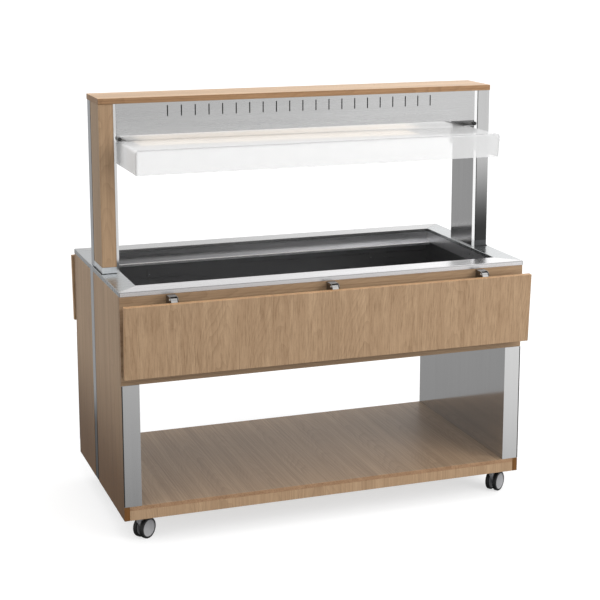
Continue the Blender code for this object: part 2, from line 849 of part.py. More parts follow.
def guard_arch(inset):
    """The guard's outline from its left foot over the top to its right foot."""
    x = GUARD_HALF_LENGTH - inset
    radius = GUARD_CORNER - inset
    corner = (GUARD_HALF_LENGTH - GUARD_CORNER, GUARD_TOP - GUARD_CORNER)
    right = arc(corner, radius, 90, 0, 5)
    left = [(-px, pz) for px, pz in reversed(right)]
    return [(-x, GUARD_BOTTOM)] + left + right + [(x, GUARD_BOTTOM)]


def guard():
    pane_back = 0.006
    bm = bmesh.new()
    outline = guard_arch(0.0) + list(reversed(guard_arch(GUARD_THICK)))
    add_leaning_prism(
        bm,
        outline,
        lambda z: guard_front(z) + pane_back + GAP,
        lambda z: GUARD_REAR,
    )
    add_object("guard_hood", bm, ACRYLIC, smooth=True)
    bm = bmesh.new()
    add_leaning_prism(bm, guard_arch(0.0), guard_front, lambda z: guard_front(z) + pane_back)
    add_object("guard_front_pane", bm, ACRYLIC, smooth=True)
    for name, side in (("left", -1), ("right", 1)):
        guard_bracket(name, side)
        guard_knob(name, side)


def guard_bracket(name, side):
    """Angle under the canopy: one leg on the post, the other on top of the guard."""
    wall = 0.002
    face = POST_INNER - GAP
    low = GUARD_TOP + GAP
    high = CANOPY_LOW - GAP
    outline = [
        (side * face, low),
        (side * (face - 0.040), low),
        (side * (face - 0.040), low + wall),
        (side * (face - wall), low + wall),
        (side * (face - wall), high),
        (side * face, high),
    ]
    bm = bmesh.new()
    add_prism(bm, outline, "Y", -0.088, 0.088)
    add_object(f"guard_bracket_{name}", bm, STEEL)


def guard_knob(name, side):
    centre = (side * 0.6755, 0.0, 1.3808)
    axis = joint_empty(f"guard_knob_{name}_axis", (centre[0], -0.105, centre[2]))
    profile = [
        (0.0, -0.0120),
        (0.0050, -0.0120),
        (0.0065, -0.0100),
        (0.0065, 0.0),
        (0.0050, 0.0010),
        (0.0025, 0.0010),
        (0.0025, 0.0165),
        (0.0, 0.0165),
    ]
    bm = bmesh.new()
    add_turned(bm, profile, "Y", (0.0, 0.0, 0.0), 16)
    add_object(f"guard_knob_{name}", bm, BLACK, origin=(0, 0, 0), parent=axis, smooth=True)


# ---- Fold-down tray slides --------------------------------------------------------------------
def tray_point(side, down, out):
    """(y, z) of a point from the hinge axis: down along the board, out towards its outer face."""
    y = HINGE_Y - down * math.sin(TRAY_LEAN) + out * math.cos(TRAY_LEAN)
    z = HINGE_Z - down * math.cos(TRAY_LEAN) - out * math.sin(TRAY_LEAN)
    return side * y, z


def tray_slide(name, side):
    hinge = joint_empty(f"{name}_tray_hinge", (0.0, side * HINGE_Y, HINGE_Z))
    back = TRAY_FACE - BOARD
    end = TRAY_START + TRAY_LENGTH

    def from_hinge(down, out):
        y, z = tray_point(side, down, out)
        return y - side * HINGE_Y, z - HINGE_Z

    corners = [(TRAY_START, back), (end, back), (end, TRAY_FACE), (TRAY_START, TRAY_FACE)]
    bm = bmesh.new()
    add_prism(bm, [from_hinge(*c) for c in corners], "X", -HALF_LENGTH, HALF_LENGTH)
    obj = add_object(f"{name}_tray_board", bm, OAK, origin=(0, 0, 0), parent=hinge)
    break_edges(obj)
    tray_rail(name, hinge, from_hinge, back - GAP)


def tray_rail(name, hinge, from_hinge, face):
    """Stiffening rail behind the board, with an arm at each hinge that carries its barrel."""
    rail_low = 0.100
    rail_high = 0.060
    bm = bmesh.new()
    rail = [
        (rail_high, face),
        (rail_low, face),
        (rail_low, face - 0.012),
        (rail_low - 0.002, face - 0.012),
        (rail_low - 0.002, face - ARM_THICK),
        (rail_high, face - ARM_THICK),
    ]
    half = HINGE_SPACING + ARM_HALF_WIDTH + 0.05
    add_prism(bm, [from_hinge(*p) for p in rail], "X", -half, half)
    obj = add_object(f"{name}_tray_rail", bm, STEEL, origin=(0, 0, 0), parent=hinge)
    arms = bmesh.new()
    barrel = arc((0.0, 0.0), ARM_BARREL, 90, 360, 12)
    outline = [from_hinge(down, out) for down, out in barrel]
    outline += [from_hinge(0.0075, 0.0025), from_hinge(0.0120, face - ARM_THICK)]
    outline += [from_hinge(rail_high + 0.01, face - ARM_THICK), from_hinge(rail_high + 0.01, face)]
    outline += [from_hinge(TRAY_START + 0.001, face), from_hinge(0.0, ARM_BARREL + 0.001)]
    for x in (-HINGE_SPACING, 0.0, HINGE_SPACING):
        add_prism(arms, outline, "X", x - ARM_HALF_WIDTH, x + ARM_HALF_WIDTH)
    bmesh.ops.translate(arms, verts=arms.verts, vec=hinge.location)
    combine(obj, "UNION", f"{name}_tray_arms", arms)
    bores = bmesh.new()
    for x in (-HINGE_SPACING, 0.0, HINGE_SPACING):
        ends = (x - ARM_HALF_WIDTH - 0.002, x + ARM_HALF_WIDTH + 0.002)
        add_cylinder(bores, hinge.location, "X", PIN_RADIUS + GAP, *ends, 16)
    combine(obj, "DIFFERENCE", f"{name}_arm_bores", bores)


def hinge_rail(name, side):
    """Strip on the apron under the counter, with three U brackets and their staked pins."""
    face = HALF_DEPTH + GAP
    top = 0.8865
    foot = 0.842
    wall = BRACKET_WALL
    strip_thick = 0.0025
    bm = bmesh.new()
    ends = sorted((side * face, side * (face + strip_thick)))
    half = HINGE_SPACING + BRACKET_HALF_WIDTH + 0.04
    add_box(bm, (-half, ends[0], foot - 0.030), (half, ends[1], foot))
    obj = add_object(f"{name}_hinge_rail", bm, STEEL)
    nose = arc((HINGE_Y, HINGE_Z), BRACKET_NOSE, 90, -60, 7)
    outline = [(face, foot - 0.005), (face, top), (HINGE_Y - 0.004, top)] + nose
    brackets = bmesh.new()
    slots = bmesh.new()
    pins = bmesh.new()
    slot = [
        (face + wall, foot - 0.04),
        (face + wall, top - 0.002),
        (HINGE_Y - 0.0065, top - 0.002),
        (HINGE_Y - 0.0065, top + 0.01),
        (HINGE_Y + 0.03, top + 0.01),
        (HINGE_Y + 0.03, foot - 0.04),
    ]
    for x in (-HINGE_SPACING, 0.0, HINGE_SPACING):
        shape = [(side * y, z) for y, z in outline]
        add_prism(brackets, shape, "X", x - BRACKET_HALF_WIDTH, x + BRACKET_HALF_WIDTH)
        shape = [(side * y, z) for y, z in slot]
        inside = BRACKET_HALF_WIDTH - wall
        add_prism(slots, shape, "X", x - inside, x + inside)
        centre = (x, side * HINGE_Y, HINGE_Z)
        reach = BRACKET_HALF_WIDTH + 0.0015
        add_cylinder(pins, centre, "X", PIN_RADIUS, x - reach, x + reach, 16)
    combine(obj, "UNION", f"{name}_hinge_brackets", brackets)
    combine(obj, "DIFFERENCE", f"{name}_bracket_slots", slots)
    combine(obj, "UNION", f"{name}_hinge_pins", pins)


# ---- Castors ----------------------------------------------------------------------------------
def castor(name, x, y, heading):
    """Twin-wheel swivel castor.  Its wheels trail behind the stem, along the empty's own X."""
    swivel = joint_empty(f"{name}_swivel", (x, y, 0.0), heading)
    axle = (CASTOR_TRAIL, 0.0, AXLE_HEIGHT)
    half_web = 0.0060
    head_radius = 0.0145
    head_low = 0.0785
    boss = arc((axle[0], axle[2]), 0.0125, -120, 45, 8)
    outline = boss + [
        (0.0140, head_low),
        (0.0140, HEAD_TOP - 0.0005),
        (-0.0140, HEAD_TOP - 0.0005),
        (-0.0140, head_low),
        (-0.0080, 0.0640),
    ]
    bm = bmesh.new()
    add_prism(bm, outline, "Y", -half_web, half_web)
    obj = add_object(f"{name}_housing", bm, GREY, origin=(0, 0, 0), parent=swivel)
    place = Matrix.Translation((x, y, 0.0)) @ Matrix.Rotation(heading, 4, "Z")
    extra = bmesh.new()
    add_cylinder(extra, (0, 0, 0), "Z", head_radius, head_low, HEAD_TOP, 20)
    add_cylinder(extra, axle, "Y", 0.0032, -0.0200, 0.0200, 12)
    bmesh.ops.transform(extra, matrix=place, verts=extra.verts)
    combine(obj, "UNION", f"{name}_head_and_axle", extra)
    bore = bmesh.new()
    add_cylinder(bore, (0, 0, 0), "Z", STEM_BORE, 0.0700, HEAD_TOP + 0.01, 16)
    bmesh.ops.transform(bore, matrix=place, verts=bore.verts)
    combine(obj, "DIFFERENCE", f"{name}_stem_bore", bore)
    profile = [
        (0.0, 0.0205),
        (0.0036, 0.0205),
        (0.0036, 0.0075),
        (0.0365, 0.0075),
        (0.0375, 0.0085),
        (0.0375, 0.0210),
        (0.0362, 0.0225),
        (0.0310, 0.0225),
        (0.0306, 0.0217),
        (0.0, 0.0217),
    ]
    for wheel, sign in (("wheel_a", -1), ("wheel_b", 1)):
        spin = joint_empty(f"{name}_{wheel}_axis", axle)
        spin.parent = swivel
        bm = bmesh.new()
        turned = [(radius, sign * along) for radius, along in profile]
        add_turned(bm, turned, "Y", (0, 0, 0), WHEEL_STEPS, math.pi / WHEEL_STEPS)
        add_object(f"{name}_{wheel}", bm, TYRE, origin=(0, 0, 0), parent=spin, smooth=True)


def castors():
    for x_name, side_x in (("left", -1), ("right", 1)):
        castor(f"castor_front_{x_name}", side_x * PIVOT_X, -PIVOT_Y, FRONT_HEADING)
        castor(f"castor_rear_{x_name}", side_x * PIVOT_X, PIVOT_Y, REAR_HEADING)


# ---- Services ---------------------------------------------------------------------------------
def control_panel():
    rim = 0.010
    bm = bmesh.new()
    add_box(
        bm,
        (PANEL_BACK, PANEL_Y[0] - rim, PANEL_Z[0] - rim),
        (PANEL_FACE, PANEL_Y[1] + rim, PANEL_Z[1] + rim),
    )
    obj = add_object("control_panel", bm, STEEL)
    cut = bmesh.new()
    add_cylinder(cut, (0, KNOB_Y, KNOB_Z), "X", 0.0036, PANEL_BACK - 0.01, PANEL_FACE + 0.01, 16)
    for z in (POWER_Z, LIGHT_Z):
        add_box(
            cut,
            (PANEL_BACK - 0.01, SWITCH_Y - 0.0075, z - 0.0140),
            (PANEL_FACE + 0.01, SWITCH_Y + 0.0075, z + 0.0140),
        )
    combine(obj, "DIFFERENCE", "panel_holes", cut)


def thermostat_knob():
    axis = joint_empty("thermostat_axis", (PANEL_FACE, KNOB_Y, KNOB_Z))
    profile = [
        (0.0, -0.0150),
        (0.0032, -0.0150),
        (0.0032, 0.0010),
        (0.0195, 0.0010),
        (0.0205, 0.0020),
        (0.0190, 0.0100),
        (0.0, 0.0100),
    ]
    bm = bmesh.new()
    add_turned(bm, profile, "X", (0, 0, 0), 24)
    obj = add_object("thermostat_knob", bm, BLACK, origin=(0, 0, 0), parent=axis, smooth=True)
    grip = bmesh.new()
    add_box(grip, (0.0050, -0.0035, -0.0175), (0.0185, 0.0035, 0.0175))
    bmesh.ops.translate(grip, verts=grip.verts, vec=axis.location)
    combine(obj, "UNION", "thermostat_grip", grip)


def rocker_switch(name, z):
    axis = joint_empty(f"{name}_axis", (SWITCH_PIVOT_X, SWITCH_Y, z))
    half = 0.0125
    outline = [
        (-0.0045, -half),
        (0.0015, -half),
        (0.0030, -half * 0.5),
        (0.0020, 0.0),
        (0.0030, half * 0.5),
        (0.0015, half),
        (-0.0045, half),
    ]
    bm = bmesh.new()
    add_prism(bm, outline, "Y", -0.0065, 0.0065)
    bmesh.ops.rotate(
        bm,
        verts=bm.verts,
        cent=(0, 0, 0),
        matrix=Matrix.Rotation(-SWITCH_TILT, 3, "Y"),
    )
    add_object(name, bm, BLACK, origin=(0, 0, 0), parent=axis)


def drain_valve():
    """Waste fitting through the tank floor, with a ball valve under the belly pan."""
    profile = [
        (0.0, 0.6820),
        (0.0200, 0.6820),
        (0.0240, 0.6803),
        (0.0150, 0.6803),
        (0.0150, 0.5780),
        (0.0220, 0.5750),
        (0.0220, 0.5480),
        (0.0160, 0.5440),
        (0.0120, 0.5440),
        (0.0120, 0.5250),
        (0.0, 0.5250),
    ]
    bm = bmesh.new()
    add_turned(bm, profile, "Z", (DRAIN_X, DRAIN_Y, 0.0), 20)
    add_object("drain_valve", bm, BRASS, smooth=True)
    axis = joint_empty("drain_lever_axis", (DRAIN_X, DRAIN_Y + 0.0275, VALVE_Z))
    bm = bmesh.new()
    add_box(bm, (-0.0480, 0.0, -0.0060), (0.0080, 0.0030, 0.0060))
    obj = add_object("drain_lever", bm, RED, origin=(0, 0, 0), parent=axis)
    stem = bmesh.new()
    add_cylinder(stem, (0, 0, 0), "Y", 0.0040, -0.0050, 0.0055, 12)
    bmesh.ops.translate(stem, verts=stem.verts, vec=axis.location)
    combine(obj, "UNION", "drain_lever_stem", stem)


def cable_gland():
    profile = [
        (0.0, 0.5817),
        (0.0150, 0.5817),
        (0.0150, 0.5760),
        (0.0115, 0.5740),
        (0.0110, 0.5620),
        (0.0080, 0.5570),
        (0.0, 0.5570),
    ]
    bm = bmesh.new()
    add_turned(bm, profile, "Z", (0.600, 0.250, 0.0), 16)
    add_object("cable_gland", bm, BLACK, smooth=True)


def services():
    control_panel()
    thermostat_knob()
    rocker_switch("power_switch", POWER_Z)
    rocker_switch("light_switch", LIGHT_Z)
    drain_valve()
    cable_gland()


# ---- Assembly ---------------------------------------------------------------------------------
counter_and_well()
aprons()
end_boards()
end_liners()
base()
base_frame()
posts()
canopy()
guard()
for side_name, side_sign in (("front", -1), ("rear", 1)):
    tray_slide(side_name, side_sign)
    hinge_rail(side_name, side_sign)
castors()
services()
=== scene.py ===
"""Looks, lights and camera for the steam table unit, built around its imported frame.

Metres, +Z up, X along the counter, -Y the guest side.  Each CAD node keeps its place and gets a
node material; round and moulded parts are replaced by smoother pieces, and small fittings are added.
"""

import json
import math

import bmesh
import bpy
from mathutils import Matrix, Vector

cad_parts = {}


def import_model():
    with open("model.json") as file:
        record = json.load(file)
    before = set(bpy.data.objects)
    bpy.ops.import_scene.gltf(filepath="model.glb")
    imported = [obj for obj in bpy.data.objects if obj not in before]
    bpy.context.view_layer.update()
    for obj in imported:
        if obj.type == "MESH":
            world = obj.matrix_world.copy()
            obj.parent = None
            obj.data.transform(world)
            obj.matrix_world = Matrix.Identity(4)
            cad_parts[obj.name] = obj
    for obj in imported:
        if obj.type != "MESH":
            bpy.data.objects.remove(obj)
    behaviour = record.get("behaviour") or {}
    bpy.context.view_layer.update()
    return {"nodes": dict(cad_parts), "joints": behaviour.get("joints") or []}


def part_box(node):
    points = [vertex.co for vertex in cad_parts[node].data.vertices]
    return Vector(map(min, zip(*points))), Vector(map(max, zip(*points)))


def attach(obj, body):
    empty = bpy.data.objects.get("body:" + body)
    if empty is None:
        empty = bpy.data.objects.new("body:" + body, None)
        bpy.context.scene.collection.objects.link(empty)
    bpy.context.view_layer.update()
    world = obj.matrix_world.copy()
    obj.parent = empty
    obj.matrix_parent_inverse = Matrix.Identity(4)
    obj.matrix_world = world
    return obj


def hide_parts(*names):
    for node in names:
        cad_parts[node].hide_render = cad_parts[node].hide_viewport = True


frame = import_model()
NODES = frame["nodes"]
JOINTS = {joint["name"]: joint for joint in frame["joints"]}
SIDES = (("left", -1), ("right", 1))
FACES = (("front", -1), ("rear", 1))

# ---- Sizes taken from the frame ---------------------------------------------------------------
COUNTER_LOW, COUNTER_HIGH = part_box("counter_top")
COUNTER_Z = COUNTER_HIGH.z
TANK_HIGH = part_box("well_tank")[1]
POST_HALF_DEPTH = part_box("right_post_liner")[1].y
HOOD_LOW, HOOD_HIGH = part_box("guard_hood")
PANE_LOW, PANE_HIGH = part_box("guard_front_pane")
PANEL_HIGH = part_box("control_panel")[1]
SHEET = 0.0015
COLUMN_FRONT, COLUMN_BACK = 0.0470, 0.0925  # the column's front and back in Y
GASKET_OUTER = 0.7090  # the gasket stops here beside the column
GASKET_STEP = COLUMN_FRONT - 0.0010
COLLAR_REACH = 0.025  # half the height band round the counter that the collar takes
COLLAR_BACK = 0.040
LEDGE_EDGE = (0.2650, 0.8550)  # y and z of the pan ledge's rolled edge
PLATE_Z = (0.776, 0.828)
HINGE_X = (-0.575, 0.0, 0.575)
HINGE_HALF = 0.0146

# ---- Camera -----------------------------------------------------------------------------------
CAMERA_PLACE = (-1.8073, -5.1780, 2.0699)
CAMERA_YAW = math.radians(19.9843)
CAMERA_PITCH = math.radians(11.0555)
CAMERA_ROLL = math.radians(0.0444)
CAMERA_LENS = 90.395
CAMERA_SHIFT = (-0.0227, -0.1167)


# ---- Node materials ---------------------------------------------------------------------------
class Paint:
    """A material being built: one Principled BSDF and the nodes that feed it."""

    def __init__(self, name, **constants):
        self.material = bpy.data.materials.new(name)
        self.material.use_nodes = True
        self.tree = self.material.node_tree
        self.shader = self.tree.nodes["Principled BSDF"]
        for socket, value in constants.items():
            self.set(socket.replace("_", " "), value)
        self.coords = self.node("ShaderNodeTexCoord")
        self.place = self.coords.outputs["Object"]
        self.normal = self.coords.outputs["Normal"]

    def node(self, kind, inputs=(), **settings):
        made = self.tree.nodes.new(kind)
        for name, value in settings.items():
            setattr(made, name, value)
        for name, value in dict(inputs).items():
            self.feed(made.inputs[name], value)
        return made

    def feed(self, socket, value):
        if isinstance(value, bpy.types.NodeSocket):
            self.tree.links.new(value, socket)
        else:
            socket.default_value = value

    def set(self, socket, value):
        if isinstance(value, tuple) and len(value) == 3:
            value = (*value, 1.0)
        self.feed(self.shader.inputs[socket], value)

    def math(self, operation, first, second=0.5, third=None, clamp=False):
        made = self.node("ShaderNodeMath", operation=operation, use_clamp=clamp)
        self.feed(made.inputs[0], first)
        self.feed(made.inputs[1], second)
        if third is not None:
            self.feed(made.inputs[2], third)
        return made.outputs[0]

    def axis(self, vector, name):
        return self.node("ShaderNodeSeparateXYZ", {"Vector": vector}).outputs[name]

    def stretch(self, scale, offset=(0.0, 0.0, 0.0)):
        inputs = {"Vector": self.place, "Scale": scale, "Location": offset}
        return self.node("ShaderNodeMapping", inputs).outputs["Vector"]

    def noise(self, scale, detail=3.0, roughness=0.5, offset=(0.0, 0.0, 0.0), distortion=0.0):
        """Noise whose scale is given per metre along X, Y and Z."""
        inputs = {
            "Vector": self.stretch(scale, offset),
            "Scale": 1.0,
            "Detail": detail,
            "Roughness": roughness,
            "Distortion": distortion,
        }
        return self.node("ShaderNodeTexNoise", inputs).outputs["Fac"]

    def span(self, value, low, high, to_low=0.0, to_high=1.0, smooth=False):
        inputs = {"Value": value, "From Min": low, "From Max": high, "To Min": to_low, "To Max": to_high}
        made = self.node("ShaderNodeMapRange", inputs, clamp=True)
        made.interpolation_type = "SMOOTHSTEP" if smooth else "LINEAR"
        return made.outputs["Result"]

    def mix(self, share, first, second, blend="MIX"):
        made = self.node("ShaderNodeMix", data_type="RGBA", blend_type=blend)
        for index, value in ((0, share), (6, first), (7, second)):
            if isinstance(value, tuple) and len(value) == 3:
                value = (*value, 1.0)
            self.feed(made.inputs[index], value)
        return made.outputs[2]

    def bump(self, height, distance, strength=1.0):
        inputs = {"Height": height, "Distance": distance, "Strength": strength}
        self.set("Normal", self.node("ShaderNodeBump", inputs).outputs["Normal"])


def per_axis(grain, along, across):
    """A scale per metre that is along on the grain's axis and across on the other two."""
    return tuple(along if name == grain else across for name in "XYZ")


OAK_LIGHT = (0.475, 0.325, 0.200)
OAK_MID = (0.375, 0.246, 0.146)
OAK_DARK = (0.170, 0.100, 0.050)
LEAF = 0.170  # width of one veneer leaf


def oak(name, grain, thickness, seed=0.0, tone_and_painted_sheen=1.0, edge_tone_and_painted_shade=(1.10, 1.0, 0.86), painted_foot_shade=None):
    """Oak veneer. grain is the axis that it runs along and thickness the board's thin axis.

    The last argument, when given, is a painted shade tint that darkens the veneer towards the floor.
    """
    paint = Paint(name, IOR=1.42, Coat_Weight=0.04, Coat_Roughness=0.30)
    parts = paint.node("ShaderNodeSeparateXYZ", {"Vector": paint.place}).outputs
    along = parts[grain]
    sides = [parts[axis] for axis in "XYZ" if axis != grain]
    across = paint.math("ADD", sides[0], sides[1])
    drift = paint.noise(per_axis(grain, 1.6, 3.2), 2.0, offset=(seed, 0.0, 0.0))
    swirl = paint.noise(per_axis(grain, 5.0, 16.0), 2.0, offset=(0.0, seed, 0.0))
    wander = paint.math("MULTIPLY_ADD", drift, 0.19, paint.math("ADD", across, 0.37 * seed))
    folded = paint.math("PINGPONG", wander, LEAF)
    centred = paint.math("MULTIPLY_ADD", folded, 1.0 / LEAF, -0.46)
    arch = paint.math("MULTIPLY", paint.math("MULTIPLY", centred, centred), 24.0)
    climb = paint.math("MULTIPLY_ADD", along, 11.0, arch)
    rings = paint.math("FRACT", paint.math("MULTIPLY_ADD", swirl, 3.2, climb))
    late = paint.math("POWER", rings, 3.0)
    fade = paint.span(paint.noise(per_axis(grain, 2.5, 14.0), 3.0, offset=(seed, seed, 0.0)), 0.36, 0.62)
    figure = paint.math("MULTIPLY", late, fade)
    band = paint.noise(per_axis(grain, 0.9, 34.0), 3.0, 0.6, offset=(0.0, 0.0, seed))
    fibre = paint.noise(per_axis(grain, 9.0, 620.0), 3.0, 0.6)
    lines = paint.noise(per_axis(grain, 0.8, 210.0), 5.0, 0.72, offset=(seed, 0.0, seed))
    pores = paint.span(paint.noise(per_axis(grain, 42.0, 1500.0), 2.0), 0.60, 0.72)
    colour = paint.mix(paint.span(band, 0.34, 0.68), OAK_MID, OAK_LIGHT)
    colour = paint.mix(paint.math("MULTIPLY", figure, 0.34), colour, OAK_DARK)
    colour = paint.mix(paint.span(lines, 0.46, 0.68, 0.0, 0.58), colour, OAK_DARK)
    colour = paint.mix(paint.span(fibre, 0.35, 0.75, 0.0, 0.16), colour, OAK_DARK)
    colour = paint.mix(paint.math("MULTIPLY", pores, 0.34), colour, OAK_DARK)
    if painted_foot_shade:
        # Painted shade: the veneer takes the given tint towards the floor.
        low = paint.span(paint.axis(paint.place, "Z"), 0.16, 0.66, 1.0, 0.0, smooth=True)
        colour = paint.mix(low, colour, paint.mix(1.0, colour, painted_foot_shade, "MULTIPLY"))
    # Edge faces take their own tint: the edge strips' colour, and on the top board painted shade.
    facing = paint.math("ABSOLUTE", paint.axis(paint.normal, thickness))
    edge = paint.span(facing, 0.5, 0.9, 1.0, 0.0)
    banding_and_painted_shade = paint.mix(1.0, colour, edge_tone_and_painted_shade, "MULTIPLY")
    colour = paint.mix(edge, colour, banding_and_painted_shade)
    # A brightness factor over the whole board; on the top board it is raised as a painted sheen.
    paint.set("Base Color", paint.mix(1.0, colour, (tone_and_painted_sheen, tone_and_painted_sheen, tone_and_painted_sheen), "MULTIPLY"))
    paint.set("Roughness", paint.span(fibre, 0.2, 0.8, 0.36, 0.50))
    paint.bump(paint.math("MULTIPLY_ADD", pores, -0.8, fibre), 0.00012, 0.5)
    return paint.material


def mitre_mask(paint):
    """1 on the end strips of the counter frame, 0 on its front and rear strips."""
    parts = paint.node("ShaderNodeSeparateXYZ", {"Vector": paint.place}).outputs
    end = paint.math("ADD", paint.math("ABSOLUTE", parts["X"]), -TANK_HIGH.x)
    side = paint.math("ADD", paint.math("ABSOLUTE", parts["Y"]), -TANK_HIGH.y)
    return paint.math("GREATER_THAN", end, side)


def rim_painted_reflection(paint):
    """Painted reflection: light front strip, greyer rear and end strips."""
    rear = paint.math("GREATER_THAN", paint.axis(paint.place, "Y"), 0.0)
    lengths = paint.mix(rear, (1.0, 0.99, 1.0), (0.72, 0.72, 0.72))
    return paint.mix(mitre_mask(paint), lengths, (0.62, 0.64, 0.65))


def tank_painted_light(paint):
    """Painted light and shade: bright above the ledge and lighter towards +X there, a painted highlight
    along the ledge's edge, and painted shade in the depth of the tank.
    """
    parts = paint.node("ShaderNodeSeparateXYZ", {"Vector": paint.place}).outputs
    upper = paint.span(parts["Z"], 0.850, 0.856)
    along = paint.span(parts["X"], -0.65, 0.65, 0.75, 1.6)
    wall = paint.mix(1.0, (1.75, 1.75, 1.75), along, "MULTIPLY")
    shade = paint.mix(upper, (1.05, 1.05, 1.05), wall)
    # Painted highlight: a bright line along the ledge's edge.
    edge = paint.span(paint.math("ABSOLUTE", parts["Y"]), 0.2642, 0.2652, 1.0, 0.0)
    inside = paint.span(paint.math("ABSOLUTE", parts["X"]), 0.668, 0.670, 1.0, 0.0)
    high = paint.span(parts["Z"], 0.8455, 0.8465)
    edge = paint.math("MULTIPLY", edge, paint.math("MULTIPLY", inside, high))
    return paint.mix(edge, shade, (3.4, 3.4, 3.4))


def height_painted_shade(low, high, painted_foot_shade):
    """Painted shade: darker towards the bottom of an upright, between the heights low and high."""

    def shade(paint):
        rise = paint.span(paint.axis(paint.place, "Z"), low, high, smooth=True)
        return paint.mix(rise, (painted_foot_shade, painted_foot_shade, painted_foot_shade), (1.0, 1.0, 1.0))

    return shade


def collar_painted_light(level):
    """Painted light and shade: the collar is painted at its own brightness level, and the column painted
    darker near the floor.
    """

    def shade(paint):
        parts = paint.node("ShaderNodeSeparateXYZ", {"Vector": paint.place}).outputs
        height = paint.math("ABSOLUTE", paint.math("ADD", parts["Z"], -COUNTER_Z))
        near = paint.math("LESS_THAN", height, COLLAR_REACH)
        front = paint.math("LESS_THAN", parts["Y"], COLLAR_BACK)
        column = height_painted_shade(0.30, 0.46, 0.08)(paint)
        return paint.mix(paint.math("MULTIPLY", near, front), column, (level, level, level))

    return shade


def strip_painted_highlight(level):
    """Painted highlight: the edge strips facing along Y are painted lighter than the inner faces."""

    def shade(paint):
        strip = paint.math("ABSOLUTE", paint.axis(paint.normal, "Y"))
        return paint.mix(paint.span(strip, 0.4, 0.6), (1.02, 1.02, 1.02), (level, level, level))

    return shade


def steel(name, brush, colour, roughness, streak=0.10, bump=0.35, smudge=0.05, shade=None):
    """Stainless sheet brushed along one axis. shade, when given, paints light and shade into the colour as
    a tint by place.
    """
    paint = Paint(name, Metallic=1.0)
    broad = paint.noise(per_axis(brush, 1.2, 70.0), 3.0, 0.6)
    fine = paint.noise(per_axis(brush, 14.0, 1700.0), 2.0, 0.6)
    cloud = paint.noise((3.0, 3.0, 3.0), 3.0)
    lines = paint.math("ADD", paint.math("MULTIPLY", broad, 0.55), paint.math("MULTIPLY", fine, 0.45))
    low = tuple(c * (1.0 - streak) for c in colour)
    high = tuple(min(1.0, c * (1.0 + streak)) for c in colour)
    tint = paint.mix(paint.span(lines, 0.3, 0.7), low, high)
    tint = paint.mix(paint.span(cloud, 0.35, 0.75, 0.0, smudge), tint, (0.10, 0.10, 0.10))
    if shade:
        tint = paint.mix(1.0, tint, shade(paint), "MULTIPLY")
    paint.set("Base Color", tint)
    rough = paint.span(lines, 0.3, 0.7, roughness * 0.82, roughness * 1.18)
    rough = paint.math("MULTIPLY_ADD", paint.span(cloud, 0.4, 0.8), smudge, rough)
    paint.set("Roughness", rough)
    paint.bump(fine, 0.00003, bump)
    return paint.material


def moulded(name, colour, roughness, grain=900.0, bump=0.12, variation=0.12, metallic=0.0):
    """Plastic, rubber or paint with a fine grain."""
    paint = Paint(name, Metallic=metallic)
    grit = paint.noise((grain, grain, grain), 2.0)
    cloud = paint.noise((22.0, 22.0, 22.0), 3.0)
    low = tuple(c * (1.0 - variation) for c in colour)
    high = tuple(c * (1.0 + variation) for c in colour)
    paint.set("Base Color", paint.mix(paint.span(cloud, 0.3, 0.7), low, high))
    paint.set("Roughness", paint.span(grit, 0.3, 0.7, roughness * 0.88, roughness * 1.12))
    paint.bump(grit, 0.00006, bump)
    return paint.material


def mineral_wool():
    """Loose tan fibres."""
    paint = Paint("mineral_wool")
    fibres = paint.noise((240.0, 240.0, 240.0), 6.0, 0.7, distortion=1.4)
    paint.set("Base Color", paint.mix(fibres, (0.42, 0.36, 0.22), (0.76, 0.70, 0.52)))
    paint.set("Roughness", paint.span(fibres, 0.3, 0.7, 0.88, 1.0))
    paint.bump(fibres, 0.002, 0.9)
    return paint.material


def acrylic(name, veil, edge_veil):
    """Clear sheet with a faint milky veil that scatters light and thickens at grazing angles."""
    # Painted glow: a faint white emission, though the sheet is no lamp.
    paint = Paint(name, IOR=1.49, Roughness=0.06, Emission_Strength=0.03)
    paint.set("Emission Color", (1.0, 1.0, 1.0))
    haze = paint.noise((4.0, 4.0, 4.0), 3.0)
    paint.set("Base Color", paint.mix(haze, (0.90, 0.905, 0.91), (0.97, 0.97, 0.97)))
    rim = paint.node("ShaderNodeFresnel", {"IOR": 1.49}).outputs["Fac"]
    film = paint.span(rim, 0.04, 0.60, veil, edge_veil)
    paint.set("Alpha", paint.math("MULTIPLY", film, paint.span(haze, 0.2, 0.8, 0.92, 1.08), clamp=True))
    return paint.material


def opal():
    """Warm white diffuser that glows a little."""
    paint = Paint("opal_diffuser", IOR=1.49)
    cloud = paint.noise((5.0, 5.0, 5.0), 2.0)
    glow = paint.mix(cloud, (1.0, 0.80, 0.60), (1.0, 0.86, 0.70))
    paint.set("Base Color", paint.mix(cloud, (0.90, 0.80, 0.68), (0.94, 0.87, 0.77)))
    paint.set("Emission Color", glow)
    paint.set("Emission Strength", 0.55)
    paint.set("Roughness", paint.span(cloud, 0.3, 0.7, 0.30, 0.40))
    return paint.material


